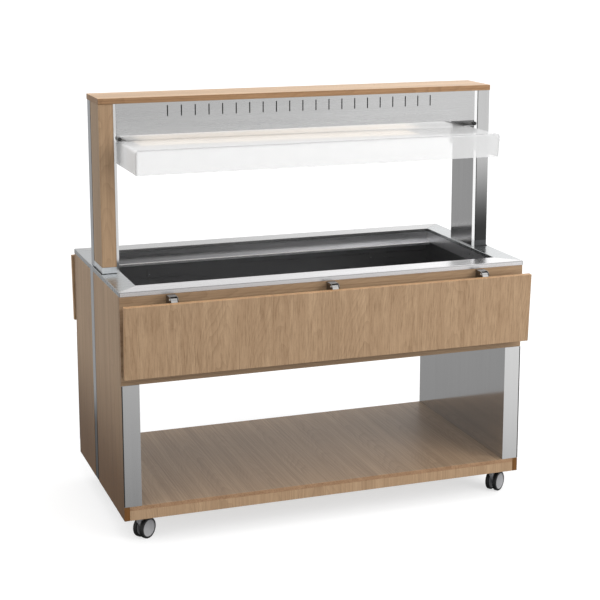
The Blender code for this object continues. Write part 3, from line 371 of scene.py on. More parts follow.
def all_materials():
    """Every material by its short name."""
    return {
        # End boards: painted darker towards the floor, as painted shade.
        "oak_upright_x": oak("oak_upright_x", "Z", "X", 1.3, 1.06, painted_foot_shade=(0.33, 0.23, 0.10)),
        "oak_upright_y": oak("oak_upright_y", "Z", "Y", 2.9, 1.0, (0.92, 0.84, 0.78)),
        "oak_tray": oak("oak_tray", "Z", "Y", 0.4, 1.0, (1.20, 1.02, 0.78)),
        "oak_apron": oak("oak_apron", "X", "Y", 4.1, 0.84, (0.92, 0.84, 0.78)),
        "oak_shelf": oak("oak_shelf", "Y", "Z", 5.7, 0.84, (0.98, 0.88, 0.82)),
        # Top board: raised as a painted sheen on its top face, with its edges painted darker as shade.
        "oak_top": oak("oak_top", "X", "Z", 6.2, 1.62, (0.50, 0.43, 0.36)),
        "oak_post": oak("oak_post", "Z", "Y", 7.7, 1.0, (0.98, 0.98, 0.96)),
        "steel_rim": steel("steel_rim", "X", (0.78, 0.78, 0.78), 0.25, 0.10, shade=rim_painted_reflection),
        "steel_fascia": steel("steel_fascia", "X", (0.64, 0.64, 0.64), 0.26, 0.05),
        "steel_plain": steel("steel_plain", "X", (0.58, 0.58, 0.58), 0.34, 0.10),
        # Liners: their edge strips painted lighter, as a painted highlight.
        "steel_liner": steel(
            "steel_liner", "Z", (0.60, 0.60, 0.60), 0.09, 0.03, 0.10, 0.02, strip_painted_highlight(1.12)
        ),
        "steel_post_liner": steel(
            "steel_post_liner", "Z", (0.62, 0.62, 0.62), 0.12, 0.04, 0.15, 0.02, strip_painted_highlight(1.55)
        ),
        # Right post: painted darker near the counter and lighter upwards, as a painted reflection.
        "steel_post": steel(
            "steel_post", "Z", (0.56, 0.56, 0.56), 0.14, 0.05, 0.20, 0.02,
            height_painted_shade(COUNTER_Z + 0.06, COUNTER_Z + 0.42, 0.08),
        ),
        # Lit and shaded copies of one column steel: the left column's collar painted bright as a highlight,
        # the right column's collar painted dark as shade.
        "steel_column": steel(
            "steel_column", "Z", (0.62, 0.64, 0.66), 0.30, 0.05, shade=collar_painted_light(1.55)
        ),
        "steel_collar": steel(
            "steel_collar", "Z", (0.62, 0.64, 0.66), 0.26, 0.05, shade=collar_painted_light(0.16)
        ),
        "steel_tank": steel(
            "steel_tank", "X", (0.30, 0.30, 0.305), 0.30, 0.03, 0.10, 0.02, tank_painted_light
        ),
        # Hinge rails painted darker than the arms, as painted shade on their cheeks.
        "steel_hinge": steel("steel_hinge", "Z", (0.26, 0.25, 0.24), 0.30, 0.10),
        "steel_arm": steel("steel_arm", "Z", (0.52, 0.51, 0.50), 0.28, 0.08),
        "steel_screw": steel("steel_screw", "Z", (0.74, 0.74, 0.74), 0.22, 0.04),
        "element": steel("element_sheath", "X", (0.18, 0.16, 0.15), 0.5, 0.2),
        "frame_paint": moulded("frame_paint", (0.11, 0.11, 0.12), 0.45, 500.0, 0.25, 0.15),
        "wool": mineral_wool(),
        "acrylic": acrylic("clear_acrylic", 0.14, 0.80),
        "acrylic_pane": acrylic("clear_acrylic_pane", 0.44, 0.90),
        "opal": opal(),
        "lamp": moulded("lamp_glass", (0.93, 0.91, 0.86), 0.20, 300.0, 0.02, 0.02),
        "black": moulded("black_plastic", (0.018, 0.018, 0.018), 0.38),
        "mark": moulded("white_marks", (0.80, 0.80, 0.80), 0.5),
        "gasket": moulded("gasket_rubber", (0.012, 0.012, 0.012), 0.62),
        "grey": moulded("grey_nylon", (0.33, 0.33, 0.34), 0.42),
        "disc": moulded("grey_disc", (0.36, 0.36, 0.37), 0.42),
        "tyre": moulded("tyre_rubber", (0.006, 0.006, 0.006), 0.50, 700.0, 0.3, 0.25),
        "brass": moulded("valve_brass", (0.64, 0.49, 0.25), 0.32, 400.0, 0.10, 0.10, 1.0),
        "red": moulded("lever_red", (0.52, 0.035, 0.025), 0.36, 500.0, 0.10, 0.08),
        "seam": moulded("seam_shadow", (0.20, 0.20, 0.20), 0.5, 500.0, 0.05, 0.05, 0.8),
    }


def node_finishes():
    """The material of each CAD node."""
    finish = {
        "counter_top": "steel_rim",
        "well_tank": "steel_tank",
        "tank_insulation": "wool",
        "heating_element": "element",
        "belly_pan": "steel_plain",
        "base_shelf": "oak_shelf",
        "base_frame": "frame_paint",
        "left_post_cladding": "oak_post",
        "right_post_cladding": "steel_post",
        "top_board": "oak_top",
        "lamp_tray": "steel_plain",
        "lamp_diffuser": "opal",
        "heat_lamp": "lamp",
        "control_panel": "steel_plain",
        "power_switch": "black",
        "light_switch": "black",
        "drain_lever": "red",
    }
    finish["left_column"] = "steel_column"
    finish["right_column"] = "steel_collar"
    for side, _ in SIDES:
        finish[f"{side}_end_liner"] = "steel_liner"
        finish[f"{side}_post_liner"] = "steel_post_liner"
        finish[f"guard_bracket_{side}"] = "steel_plain"
        for face, _ in FACES:
            finish[f"{side}_end_board_{face}"] = "oak_upright_x"
    for face, _ in FACES:
        finish[f"apron_{face}"] = "oak_apron"
        finish[f"base_fascia_{face}"] = "oak_upright_y"
        finish[f"canopy_fascia_{face}"] = "steel_fascia"
        finish[f"{face}_tray_board"] = "oak_tray"
        finish[f"{face}_tray_rail"] = "steel_arm"
        finish[f"{face}_hinge_rail"] = "steel_hinge"
    return finish


def dress_nodes():
    """Gives each CAD node that stays its material."""
    for name, finish in node_finishes().items():
        node = NODES[name]
        node.data.materials.clear()
        node.data.materials.append(MATERIALS[finish])


# ---- Piece helpers ----------------------------------------------------------------------------
def piece(name, bm, material, body, smooth=None, bevel=None, replaces=()):
    """Makes a piece that rides on a body. smooth is the sharp-edge angle in degrees."""
    bmesh.ops.recalc_face_normals(bm, faces=bm.faces)
    mesh = bpy.data.meshes.new(name)
    bm.to_mesh(mesh)
    bm.free()
    if smooth:
        mesh.shade_smooth()
        mesh.set_sharp_from_angle(angle=math.radians(smooth))
    mesh.materials.append(MATERIALS[material])
    obj = bpy.data.objects.new(name, mesh)
    bpy.context.scene.collection.objects.link(obj)
    if bevel:
        made = obj.modifiers.new("edges", "BEVEL")
        made.width = bevel
        made.segments = 3
        made.limit_method = "ANGLE"
        made.angle_limit = math.radians(40)
    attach(obj, body)
    if replaces:
        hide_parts(*replaces)
    return obj


def add_box(bm, low, high):
    """A box between two corners; returns its corner points."""
    size = [b - a for a, b in zip(low, high)]
    middle = [(a + b) / 2 for a, b in zip(low, high)]
    return bmesh.ops.create_cube(
        bm, size=1.0, matrix=Matrix.Translation(middle) @ Matrix.Diagonal((*size, 1.0))
    )["verts"]


def add_turned(bm, profile, place, steps=32):
    """Spins (radius, height) points about the local Z of the matrix place."""
    ring = [bm.verts.new((radius, 0.0, height)) for radius, height in profile]
    pairs = list(zip(ring, ring[1:]))
    if profile[0][0] > 0 and profile[-1][0] > 0:
        pairs.append((ring[-1], ring[0]))
    edges = [bm.edges.new(pair) for pair in pairs]
    bmesh.ops.spin(
        bm,
        geom=ring + edges,
        cent=(0, 0, 0),
        axis=(0, 0, 1),
        angle=2 * math.pi,
        steps=steps,
        use_merge=True,
    )
    verts = [v for v in bm.verts if v.tag is False]
    bmesh.ops.remove_doubles(bm, verts=verts, dist=1e-6)
    verts = [v for v in bm.verts if v.tag is False]
    bmesh.ops.transform(bm, matrix=place, verts=verts)
    for v in verts:
        v.tag = True


def add_prism(bm, outline, place, low, high):
    """Extrudes an (x, y) outline along the local Z of the matrix place."""
    bottom = [bm.verts.new(place @ Vector((x, y, low))) for x, y in outline]
    top = [bm.verts.new(place @ Vector((x, y, high))) for x, y in outline]
    bm.faces.new(list(reversed(bottom)))
    bm.faces.new(top)
    for i in range(len(outline)):
        j = (i + 1) % len(outline)
        bm.faces.new((bottom[i], bottom[j], top[j], top[i]))


def arc(centre, radius, start, end, steps):
    """Points on a circle from start to end, in degrees."""
    points = []
    for i in range(steps + 1):
        angle = math.radians(start + (end - start) * i / steps)
        points.append((centre[0] + radius * math.cos(angle), centre[1] + radius * math.sin(angle)))
    return points


def facing(place, direction):
    """A matrix at place whose Z looks along direction."""
    turn = Vector(direction).to_track_quat("Z", "Y").to_matrix().to_4x4()
    return Matrix.Translation(place) @ turn


def dome(radius, height, base=0.0):
    """Profile of a domed head that stands on the plane at base."""
    rise = [(radius * math.cos(a), base + height * math.sin(a)) for a in (0.0, 0.35, 0.75, 1.15)]
    return [(0.0, base), *rise, (0.0, base + height)]


# ---- Counter and well -------------------------------------------------------------------------
def mitre_seams():
    """Hairline joints across the corners of the counter frame."""
    bm = bmesh.new()
    inner = Vector((TANK_HIGH.x - SHEET + 0.002, TANK_HIGH.y - SHEET + 0.002))
    outer = Vector((COUNTER_HIGH.x - 0.0015, COUNTER_HIGH.y - 0.0015))
    run = outer - inner
    angle = math.atan2(run.y, run.x)
    half_width = 0.0004
    for sx in (-1, 1):
        for sy in (-1, 1):
            middle = (inner + outer) / 2
            turn = Matrix.Rotation(angle if sx * sy > 0 else math.pi - angle, 4, "Z")
            place = Matrix.Translation((sx * middle.x, sy * middle.y, COUNTER_Z + 0.00002)) @ turn
            size = Matrix.Diagonal((run.length, 2 * half_width, 0.00010, 1.0))
            bmesh.ops.create_cube(bm, size=1.0, matrix=place @ size)
    piece("counter_mitre_seams", bm, "seam", "cabinet")


def post_gaskets():
    """Black rubber between the counter and each post, a hair proud of the collar."""
    low, high = COUNTER_Z + 0.0001, COUNTER_Z + 0.0019
    proud = 0.0004
    front = -POST_HALF_DEPTH - proud
    back = POST_HALF_DEPTH - 0.002
    for side, sx in SIDES:
        clad_low, clad_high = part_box(f"{side}_post_cladding")
        inner = min(abs(clad_low.x), abs(clad_high.x)) + 0.0008
        outer = COUNTER_HIGH.x - 0.0015
        bm = bmesh.new()
        ends = sorted((sx * inner, sx * outer))
        add_box(bm, (ends[0], front, low), (ends[1], GASKET_STEP, high))
        ends = sorted((sx * inner, sx * GASKET_OUTER))
        add_box(bm, (ends[0], GASKET_STEP, low), (ends[1], back, high))
        piece(f"{side}_post_gasket", bm, "gasket", "cabinet")


def corner_trims():
    """Dark joint strips at the folded corners: beside each liner strip and on the counter's edge."""
    for side, sx in SIDES:
        liner_low, liner_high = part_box(f"{side}_end_liner")
        outer = COUNTER_HIGH.x
        for face, sy in FACES:
            front = sy * COUNTER_HIGH.y
            bm = bmesh.new()
            xs = sorted((sx * (outer + 0.0004), sx * (outer - 0.0034)))
            ys = sorted((front + sy * 0.0004, front - sy * 0.0012))
            add_box(bm, (xs[0], ys[0], liner_low.z + 0.001), (xs[1], ys[1], liner_high.z - 0.001))
            xs = sorted((sx * (outer + 0.0003), sx * (outer - 0.0016)))
            ys = sorted((front + sy * 0.0003, front - sy * 0.0012))
            add_box(bm, (xs[0], ys[0], COUNTER_LOW.z + 0.001), (xs[1], ys[1], COUNTER_Z - 0.0015))
            piece(f"corner_trim_{face}_{side}", bm, "gasket", "cabinet", bevel=0.0004)


def rim_lines():
    """Fine shadow line under the rounded outer edge of the counter."""
    low, high = COUNTER_Z - 0.0034, COUNTER_Z - 0.0024
    proud = 0.00015
    x, y = COUNTER_HIGH.x, COUNTER_HIGH.y
    bm = bmesh.new()
    for sy in (-1, 1):
        ys = sorted((sy * (y + proud), sy * (y - 0.0006)))
        add_box(bm, (-x + 0.003, ys[0], low), (x - 0.003, ys[1], high))
    piece("counter_rim_lines", bm, "seam", "cabinet")


def column_covers():
    """Strip clipped over each column between the end boards, flush with them."""
    for side, sx in SIDES:
        low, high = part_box(f"{side}_column")
        back = max(abs(low.x), abs(high.x)) + 0.0001
        face = COUNTER_HIGH.x - 0.0006
        bm = bmesh.new()
        xs = sorted((sx * back, sx * face))
        add_box(bm, (xs[0], COLUMN_FRONT, low.z + 0.0005), (xs[1], COLUMN_BACK, COUNTER_Z + 0.0012))
        piece(f"{side}_column_cover", bm, "steel_column", "cabinet", bevel=0.0008)


def ledge_beads():
    """Rolled edge of the two pan ledges."""
    radius = 0.0030
    half = TANK_HIGH.x - SHEET - 0.0005
    for face, sy in FACES:
        bm = bmesh.new()
        rod = [(0.0, -half), (radius, -half), (radius, half), (0.0, half)]
        add_turned(bm, rod, facing((0.0, sy * LEDGE_EDGE[0], LEDGE_EDGE[1]), (1, 0, 0)), 16)
        piece(f"ledge_bead_{face}", bm, "steel_screw", "cabinet", smooth=40)


def slot_painted_shadow_sheets():
    """Black sheets inside the canopy, behind the vent slots, as painted shade that makes the slots read
    dark.
    """
    low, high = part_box("canopy_fascia_front")
    gap = 0.010
    for face, sy in FACES:
        depth = abs(low.y) - gap
        bm = bmesh.new()
        ys = sorted((sy * depth, sy * (depth - 0.001)))
        add_box(bm, (low.x + 0.06, ys[0], low.z + 0.045), (high.x - 0.06, ys[1], high.z - 0.001))
        piece(f"slot_painted_shadow_sheet_{face}", bm, "gasket", "cabinet")


def well_plates():
    """Two small cover plates on the rear wall of the well, each with two screws."""
    wall = TANK_HIGH.y - SHEET
    for name, x0, x1 in (("left", -0.490, -0.400), ("right", 0.420, 0.492)):
        bm = bmesh.new()
        add_box(bm, (x0, wall - 0.0014, PLATE_Z[0]), (x1, wall - 0.0002, PLATE_Z[1]))
        piece(f"well_plate_{name}", bm, "steel_tank", "cabinet", bevel=0.0005)
        bm = bmesh.new()
        for x in (x0 + 0.008, x1 - 0.008):
            add_turned(bm, dome(0.0032, 0.0012), facing((x, wall - 0.0014, 0.802), (0, -1, 0)), 20)
        piece(f"well_plate_{name}_screws", bm, "steel_tank", "cabinet", smooth=35)


def counter_details():
    """All the small pieces of the counter, the well and the posts."""
    mitre_seams()
    rim_lines()
    post_gaskets()
    corner_trims()
    column_covers()
    ledge_beads()
    slot_painted_shadow_sheets()
    well_plates()


# ---- Guard ------------------------------------------------------------------------------------
GUARD_THICK = 0.006
GUARD_CORNER = 0.011


def guard_arch(inset, half_length, top, bottom):
    """The guard's (x, z) outline, open below, set in from its outer face."""
    x = half_length - inset
    radius = GUARD_CORNER - inset
    corner = (half_length - GUARD_CORNER, top - GUARD_CORNER)
    right = arc(corner, radius, 90, 0, 12)
    left = [(-px, pz) for px, pz in reversed(right)]
    return [(-x, bottom)] + left + right + [(x, bottom)]


def leaning(bm, outline, front, rear):
    """Extrudes an (x, z) outline in Y between two faces given by height."""
    fronts = [bm.verts.new((x, front(z), z)) for x, z in outline]
    rears = [bm.verts.new((x, rear(z), z)) for x, z in outline]
    bm.faces.new(fronts)
    bm.faces.new(rears)
    for i in range(len(outline)):
        j = (i + 1) % len(outline)
        bm.faces.new((fronts[i], fronts[j], rears[j], rears[i]))


def guard():
    """Clear hood and leaning front pane."""
    half, top, bottom = HOOD_HIGH.x, HOOD_HIGH.z, HOOD_LOW.z
    lean = (PANE_LOW.y - (PANE_HIGH.y - GUARD_THICK)) / (top - bottom)

    def pane_front(z):
        return PANE_HIGH.y - GUARD_THICK + lean * (z - bottom)

    bm = bmesh.new()
    outline = guard_arch(0.0, half, top, bottom)
    outline += list(reversed(guard_arch(GUARD_THICK, half, top, bottom)))
    leaning(bm, outline, lambda z: pane_front(z) + GUARD_THICK + 0.0003, lambda z: HOOD_HIGH.y)
    piece("guard_hood_skin", bm, "acrylic", "cabinet", 35, 0.0006, ["guard_hood"])
    bm = bmesh.new()
    leaning(bm, guard_arch(0.0, half, top, bottom), pane_front, lambda z: pane_front(z) + GUARD_THICK)
    piece(
        "guard_pane_skin", bm, "acrylic_pane", "cabinet", 35, 0.0006,
        ["guard_front_pane"],
    )
    guard_joint(pane_front, half, top, bottom)
    guard_fittings(top)


def guard_joint(pane_front, half, top, bottom):
    """Glued joint between the pane and the hood: a fine grey line over the top and down the sides."""
    proud = 0.00015
    line = 0.0008
    outer = guard_arch(-proud, half, top, bottom + 0.0005)
    inner = guard_arch(0.0004, half, top, bottom + 0.0005)
    outer = [(x, z + (proud if z > top - 0.0001 else 0.0)) for x, z in outer]
    outline = outer + list(reversed(inner))
    bm = bmesh.new()
    middle = GUARD_THICK + 0.00015
    leaning(
        bm, outline, lambda z: pane_front(z) + middle - line, lambda z: pane_front(z) + middle + line
    )
    piece("guard_joint", bm, "seam", "cabinet")


def guard_fittings(top):
    """Ribbed clamp knobs, and the screws that hold the hood's brackets."""
    leg_top = top + 0.0023
    for side, sx in SIDES:
        pivot = Vector(JOINTS[f"guard_knob_{side}_turn"]["pos_m"])
        bm = bmesh.new()
        for i in range(10):
            turn = Matrix.Rotation(i * math.pi / 5, 4, "Y")
            ridge = add_box(bm, (-0.0012, -0.0105, 0.0050), (0.0012, -0.0015, 0.0069))
            bmesh.ops.transform(bm, matrix=Matrix.Translation(pivot) @ turn, verts=ridge)
        grip = [(0.0, 0.0120), (0.0046, 0.0120), (0.0060, 0.0108), (0.0062, 0.0), (0.0048, -0.0010)]
        grip += [(0.0025, -0.0010), (0.0025, -0.0165), (0.0, -0.0165)]
        for v in bm.verts:
            v.tag = True
        add_turned(bm, grip, facing(pivot, (0, -1, 0)), 32)
        piece(
            f"guard_grip_{side}", bm, "black", f"guard_knob_{side}", 35,
            replaces=[f"guard_knob_{side}"],
        )
        bm = bmesh.new()
        for y in (-0.045, 0.040):
            add_turned(bm, dome(0.0046, 0.0026), facing((sx * 0.655, y, leg_top), (0, 0, 1)), 24)
        piece(f"guard_screws_{side}", bm, "steel_screw", "cabinet", 35)


# ---- Tray slide hinges ------------------------------------------------------------------------
def hinge_details():
    """Rivet heads on both cheeks of each tray hinge."""
    for face, _ in FACES:
        pivot = Vector(JOINTS[f"{face}_tray_fold"]["pos_m"])
        bm = bmesh.new()
        for x in HINGE_X:
            for sx in (-1, 1):
                head = facing((x + sx * HINGE_HALF, pivot.y, pivot.z), (sx, 0, 0))
                add_turned(bm, dome(0.0046, 0.0022), head, 20)
        piece(f"{face}_hinge_rivets", bm, "steel_screw", "cabinet", 35)


# ---- Castors ----------------------------------------------------------------------------------
def castor_names():
    """The four castors' body names."""
    return [f"castor_{face}_{side}" for face, _ in FACES for side, _ in SIDES]


def castor(name):
    """One castor, placed from its swivel and its wheels' axis."""
    swivel = Vector(JOINTS[f"{name}_swivel"]["pos_m"])
    spin = JOINTS[f"{name}_wheel_a_spin"]
    centre = Vector(spin["pos_m"])
    across = Vector(spin["axis"])
    trail = (Vector((centre.x, centre.y, 0)) - Vector((swivel.x, swivel.y, 0))).normalized()
    place = Matrix.Translation((swivel.x, swivel.y, 0.0)) @ Matrix(
        (
            (trail.x, across.x, 0, 0),
            (trail.y, across.y, 0, 0),
            (0, 0, 1, 0),
            (0, 0, 0, 1),
        )
    )
    reach = (centre - Vector((swivel.x, swivel.y, centre.z))).length
    castor_housing(name, place, reach, centre.z)
    for wheel, sign in (("wheel_a", -1), ("wheel_b", 1)):
        castor_wheel(f"{name}_{wheel}", facing(centre, across * sign))


def castor_housing(name, place, reach, height):
    """Web between the wheels, round their axle, and a round head."""
    bm = bmesh.new()
    upright = place @ Matrix.Rotation(math.pi / 2, 4, "X")
    outline = arc((reach, height), 0.0125, -120, 45, 12)
    outline += [(0.0140, 0.0785), (0.0140, 0.0890), (-0.0140, 0.0890), (-0.0140, 0.0785), (-0.0080, 0.0640)]
    add_prism(bm, outline, upright, -0.0058, 0.0058)
    for v in bm.verts:
        v.tag = True
    head = [(0.0047, 0.0905), (0.0136, 0.0905), (0.0144, 0.0897), (0.0144, 0.0800), (0.0132, 0.0786)]
    head += [(0.0047, 0.0786)]
    add_turned(bm, head, place, 40)
    piece(
        f"{name}_fork", bm, "grey", name, 35, 0.0006, [f"{name}_housing"],
    )


def castor_wheel(name, place):
    """Rounded tyre and a dished grey disc. Local Z points away from the housing."""
    inner, outer = 0.0078, 0.0222
    tyre = [(0.0300, inner + 0.0006), (0.0352, inner)]
    tyre += arc((0.0352, inner + 0.0022), 0.0022, -60, 0, 5)
    tyre += arc((0.0338, outer - 0.0036), 0.0036, 0, 90, 7)
    tyre += [(0.0300, outer)]
    bm = bmesh.new()
    add_turned(bm, tyre, place, 64)
    piece(f"{name}_tyre", bm, "tyre", name, 40, replaces=[name])
    disc = [(0.0, inner), (0.0298, inner), (0.0299, outer - 0.0008), (0.0288, outer - 0.0002)]
    disc += [(0.0272, outer - 0.0006), (0.0262, outer - 0.0016), (0.0, outer - 0.0010)]
    bm = bmesh.new()
    add_turned(bm, disc, place, 64)
    piece(f"{name}_disc", bm, "disc", name, 30)


def castors():
    """All four castors."""
    for name in castor_names():
        castor(name)


# ---- Services ---------------------------------------------------------------------------------
def control_details():
    """Thermostat knob with its marks, switch bezels and pilot lamp."""
    pivot = Vector(JOINTS["thermostat_turn"]["pos_m"])
    face = PANEL_HIGH.x
    bm = bmesh.new()
    knob = [(0.0, -0.0150), (0.0032, -0.0150), (0.0032, 0.0010), (0.0198, 0.0010), (0.0205, 0.0022)]
    knob += [(0.0194, 0.0090), (0.0184, 0.0100), (0.0, 0.0100)]
    add_turned(bm, knob, facing(pivot, (1, 0, 0)), 48)
    grip = add_box(bm, (0.0090, -0.0034, -0.0175), (0.0184, 0.0034, 0.0175))
    bmesh.ops.translate(bm, verts=grip, vec=pivot)
    piece(
        "thermostat_cap", bm, "black", "thermostat_knob", 35, 0.0006,
        ["thermostat_knob"],
    )
    bm = bmesh.new()
    line = add_box(bm, (0.0183, -0.0006, 0.0060), (0.0187, 0.0006, 0.0165))
    bmesh.ops.translate(bm, verts=line, vec=pivot)
    piece("thermostat_pointer", bm, "mark", "thermostat_knob")
    bm = bmesh.new()
    for i in range(10):
        turn = Matrix.Rotation(-math.radians(i * 30.0), 4, "X")
        tick = add_box(bm, (face, -0.0005, 0.0235), (face + 0.0002, 0.0005, 0.0270))
        middle = Matrix.Translation((0, pivot.y, pivot.z))
        bmesh.ops.transform(bm, matrix=middle @ turn, verts=tick)
    piece("thermostat_marks", bm, "black", "cabinet")
    bm = bmesh.new()
    for joint in ("power_switch_rock", "light_switch_rock"):
        centre = JOINTS[joint]["pos_m"]
        outer_y, outer_z, rim = 0.0100, 0.0165, 0.0022
        for y0, y1, z0, z1 in (
            (-outer_y, outer_y, outer_z - rim, outer_z),
            (-outer_y, outer_y, -outer_z, -outer_z + rim),
            (-outer_y, -outer_y + rim, -outer_z + rim, outer_z - rim),
            (outer_y - rim, outer_y, -outer_z + rim, outer_z - rim),
        ):
            low = (face + 0.0001, centre[1] + y0, centre[2] + z0)
            high = (face + 0.0016, centre[1] + y1, centre[2] + z1)
            add_box(bm, low, high)
    piece("switch_bezels", bm, "black", "cabinet")
    bm = bmesh.new()
    lens = facing((face, 0.150, 0.720), (1, 0, 0))
    add_turned(bm, dome(0.0030, 0.0022), lens, 24)
    piece("pilot_lamp", bm, "red", "cabinet", 35)


def drain_details():
    """Turned brass valve with a hexagonal collar, and the lever's nut."""
    centre = Vector(JOINTS["drain_lever_turn"]["pos_m"])
    low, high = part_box("drain_valve")
    middle = ((low.x + high.x) / 2, (low.y + high.y) / 2, 0.0)
    upright = Matrix.Translation(middle)
    bm = bmesh.new()
    body = [(0.0, 0.6820), (0.0190, 0.6820), (0.0236, 0.6812), (0.0240, 0.6803), (0.0150, 0.6803)]
    body += [(0.0150, 0.5800), (0.0170, 0.5785)]
    body += arc((0.0, 0.5615), 0.0225, 42, -42, 10)
    body += [(0.0165, 0.5440), (0.0122, 0.5430)]
    for i in range(5):
        z = 0.5410 - i * 0.0030
        body += [(0.0122, z), (0.0112, z - 0.0015)]
    body += [(0.0118, 0.5262), (0.0110, 0.5250), (0.0, 0.5250)]
    add_turned(bm, body, upright, 48)
    nut = [(0.0222 * math.cos(i * math.pi / 3), 0.0222 * math.sin(i * math.pi / 3)) for i in range(6)]
    add_prism(bm, nut, upright, 0.5672, 0.5768)
    piece("drain_valve_body", bm, "brass", "cabinet", 30, replaces=["drain_valve"])
    bm = bmesh.new()
    add_turned(bm, dome(0.0038, 0.0020), facing((centre.x, centre.y + 0.0055, centre.z), (0, 1, 0)), 6)
    piece("drain_lever_nut", bm, "steel_screw", "drain_lever")


def gland_details():
    """Cable gland under the unit. No cord leaves it."""
    low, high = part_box("cable_gland")
    middle = Matrix.Translation(((low.x + high.x) / 2, (low.y + high.y) / 2, 0.0))
    top = high.z
    bm = bmesh.new()
    body = [(0.0, top), (0.0112, top), (0.0112, top - 0.0070), (0.0110, top - 0.0140)]
    body += [(0.0098, top - 0.0195), (0.0080, top - 0.0245), (0.0, top - 0.0245)]
    add_turned(bm, body, middle, 40)
    nut = [(0.0150 * math.cos(i * math.pi / 3), 0.0150 * math.sin(i * math.pi / 3)) for i in range(6)]
    add_prism(bm, nut, middle, top - 0.0055, top)
    piece("cable_gland_body", bm, "black", "cabinet", 30, replaces=["cable_gland"])


def screws():
    """Screws along both edges of the belly pan."""
    low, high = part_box("belly_pan")
    bm = bmesh.new()
    for i in range(7):
        x = low.x + 0.06 + (high.x - low.x - 0.12) * i / 6
        for y in (low.y + 0.02, high.y - 0.02):
            add_turned(bm, dome(0.0045, 0.0022), facing((x, y, low.z), (0, 0, -1)), 20)
    piece("belly_pan_screws", bm, "steel_screw", "cabinet", 35)


# ---- Camera, lights and floor -----------------------------------------------------------------
def camera():
    """The photograph's view."""
    data = bpy.data.cameras.new("camera")
    data.lens = CAMERA_LENS
    data.shift_x, data.shift_y = CAMERA_SHIFT
    data.clip_start, data.clip_end = 0.1, 300.0
    obj = bpy.data.objects.new("camera", data)
    look = Matrix.Rotation(-CAMERA_YAW, 4, "Z") @ Matrix.Rotation(math.pi / 2 - CAMERA_PITCH, 4, "X")
    obj.matrix_world = Matrix.Translation(CAMERA_PLACE) @ look @ Matrix.Rotation(CAMERA_ROLL, 4, "Z")
    bpy.context.scene.collection.objects.link(obj)
    bpy.context.scene.camera = obj


def sun(name, towards, strength, spread, colour=(1.0, 1.0, 1.0)):
    """A soft, even light that shines along towards."""
    data = bpy.data.lights.new(name, "SUN")
    data.energy = strength
    data.angle = math.radians(spread)
    data.color = colour
    obj = bpy.data.objects.new(name, data)
    obj.rotation_euler = Vector(towards).to_track_quat("-Z", "Y").to_euler()
    obj.visible_glossy = False
    bpy.context.scene.collection.objects.link(obj)


def panel(name, place, target, size, power):
    """A square light panel, nearer to one end than a sun is, so its light falls off."""
    data = bpy.data.lights.new(name, "AREA")
    data.energy = power
    data.size = size
    obj = bpy.data.objects.new(name, data)
    obj.location = place
    obj.rotation_euler = (Vector(target) - Vector(place)).to_track_quat("-Z", "Y").to_euler()
    obj.visible_glossy = False
    bpy.context.scene.collection.objects.link(obj)


PALE = (1.0, 1.0, 1.0)
# Brightness by the sine of the height above the horizon, and to the side for STUDIO_SIDE.
BACKDROP = (
    (-1.0, 0.05), (-0.40, 0.08), (-0.33, 0.50), (-0.26, 0.56),
    (-0.10, 0.60), (0.02, 0.95), (0.5, 1.1), (1.0, 0.9),
)
STUDIO_FRONT = (
    (-1.0, 0.10), (-0.42, 0.30), (-0.26, 0.74), (-0.19, 0.80),
    (-0.12, 0.80), (0.0, 0.80), (0.5, 1.1), (1.0, 0.9),
)
STUDIO_SIDE = ((-1.0, 0.75), (0.1, 0.74), (0.24, 0.84), (0.50, 1.36), (1.0, 1.1))
FILL = ((-1.0, 0.24), (-0.05, 0.32), (0.10, 0.52), (1.0, 0.60))


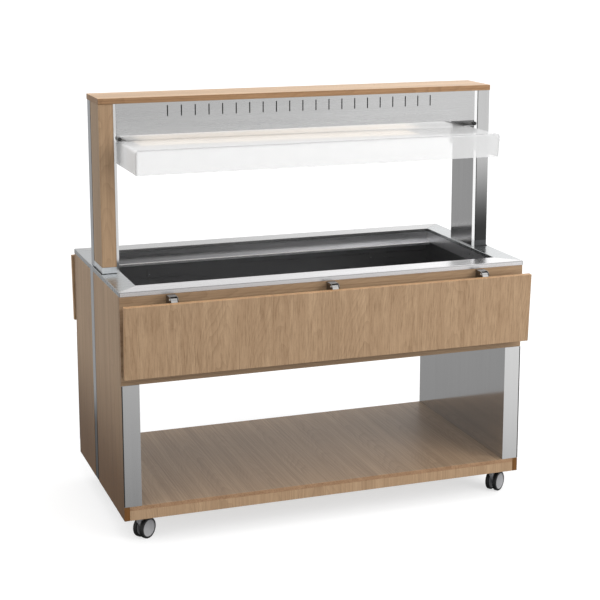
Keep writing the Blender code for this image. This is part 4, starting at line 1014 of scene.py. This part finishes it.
def world():
    """Pale where the camera looks, a studio with a bright backdrop where steel reflects it."""
    made = bpy.data.worlds.new("studio")
    made.use_nodes = True
    bpy.context.scene.world = made
    tree = made.node_tree
    tree.nodes.clear()

    def node(kind, **settings):
        new = tree.nodes.new(kind)
        for name, value in settings.items():
            setattr(new, name, value)
        return new

    def ramp(source, low, high, stops):
        span = node("ShaderNodeMapRange", clamp=True)
        tree.links.new(source, span.inputs["Value"])
        span.inputs["From Min"].default_value = low
        span.inputs["From Max"].default_value = high
        made_ramp = node("ShaderNodeValToRGB")
        tree.links.new(span.outputs["Result"], made_ramp.inputs["Fac"])
        elements = made_ramp.color_ramp.elements
        made_ramp.color_ramp.interpolation = "EASE"
        while len(elements) > 1:
            elements.remove(elements[-1])
        for i, (at, level) in enumerate(stops):
            element = elements[0] if i == 0 else elements.new((at - low) / (high - low))
            element.position = (at - low) / (high - low)
            element.color = (level, level, level, 1.0)
        return made_ramp.outputs["Color"]

    def mix(share, first, second):
        new = node("ShaderNodeMix", data_type="RGBA")
        for socket, value in ((new.inputs[0], share), (new.inputs[6], first), (new.inputs[7], second)):
            if isinstance(value, bpy.types.NodeSocket):
                tree.links.new(value, socket)
            else:
                socket.default_value = value
        return new.outputs[2]

    direction = node("ShaderNodeTexCoord").outputs["Generated"]
    parts = node("ShaderNodeSeparateXYZ")
    tree.links.new(direction, parts.inputs["Vector"])
    rise = parts.outputs["Z"]
    behind = ramp(rise, -1.0, 1.0, BACKDROP)
    front = ramp(rise, -1.0, 1.0, STUDIO_FRONT)
    facing_back = ramp(parts.outputs["Y"], -0.35, 0.35, ((-0.35, 0.0), (0.35, 1.0)))
    sideways = ramp(parts.outputs["X"], -1.0, 1.0, STUDIO_SIDE)
    reflected = mix(facing_back, front, behind)
    tint = node("ShaderNodeMix", data_type="RGBA", blend_type="MULTIPLY")
    tint.inputs[0].default_value = 1.0
    tree.links.new(reflected, tint.inputs[6])
    tree.links.new(sideways, tint.inputs[7])
    fill = ramp(rise, -1.0, 1.0, FILL)
    rays = node("ShaderNodeLightPath").outputs
    seen = mix(rays["Is Glossy Ray"], fill, tint.outputs[2])
    seen = mix(rays["Is Camera Ray"], seen, (*PALE, 1.0))
    background = node("ShaderNodeBackground")
    tree.links.new(seen, background.inputs["Color"])
    output = node("ShaderNodeOutputWorld")
    tree.links.new(background.outputs["Background"], output.inputs["Surface"])


def floor():
    """Wide pale disc that the unit stands on."""
    bm = bmesh.new()
    bmesh.ops.create_circle(bm, cap_ends=True, segments=96, radius=150.0)
    mesh = bpy.data.meshes.new("floor")
    bm.to_mesh(mesh)
    bm.free()
    obj = bpy.data.objects.new("floor", mesh)
    paint = Paint("pale_floor", Roughness=0.9, Emission_Strength=0.62)
    cloud = paint.noise((0.7, 0.7, 0.7), 2.0)
    paint.set("Base Color", paint.mix(cloud, (0.46, 0.46, 0.46), (0.48, 0.48, 0.48)))
    paint.set("Emission Color", (1.0, 1.0, 1.0))
    paint.set("Specular IOR Level", 0.0)
    mesh.materials.append(paint.material)
    obj.visible_glossy = False
    obj.visible_diffuse = False
    bpy.context.scene.collection.objects.link(obj)


def studio():
    """Camera, world, floor and lights."""
    camera()
    world()
    floor()
    sun("key", (-0.30, 0.88, -0.42), 0.90, 60.0, (1.0, 0.985, 0.965))
    sun("overhead", (0.05, 0.10, -1.0), 1.05, 90.0)
    sun("side", (0.92, 0.30, -0.45), 0.72, 60.0, (0.97, 0.985, 1.0))
    panel("key_panel", (2.6, -3.2, 1.9), (0.1, -0.4, 0.7), 2.2, 72.0)
    view = bpy.context.scene.view_settings
    view.view_transform = "Standard"
    view.look = "None"


# ---- Assembly ---------------------------------------------------------------------------------
MATERIALS = all_materials()
dress_nodes()
counter_details()
guard()
hinge_details()
castors()
control_details()
drain_details()
gland_details()
screws()
studio()
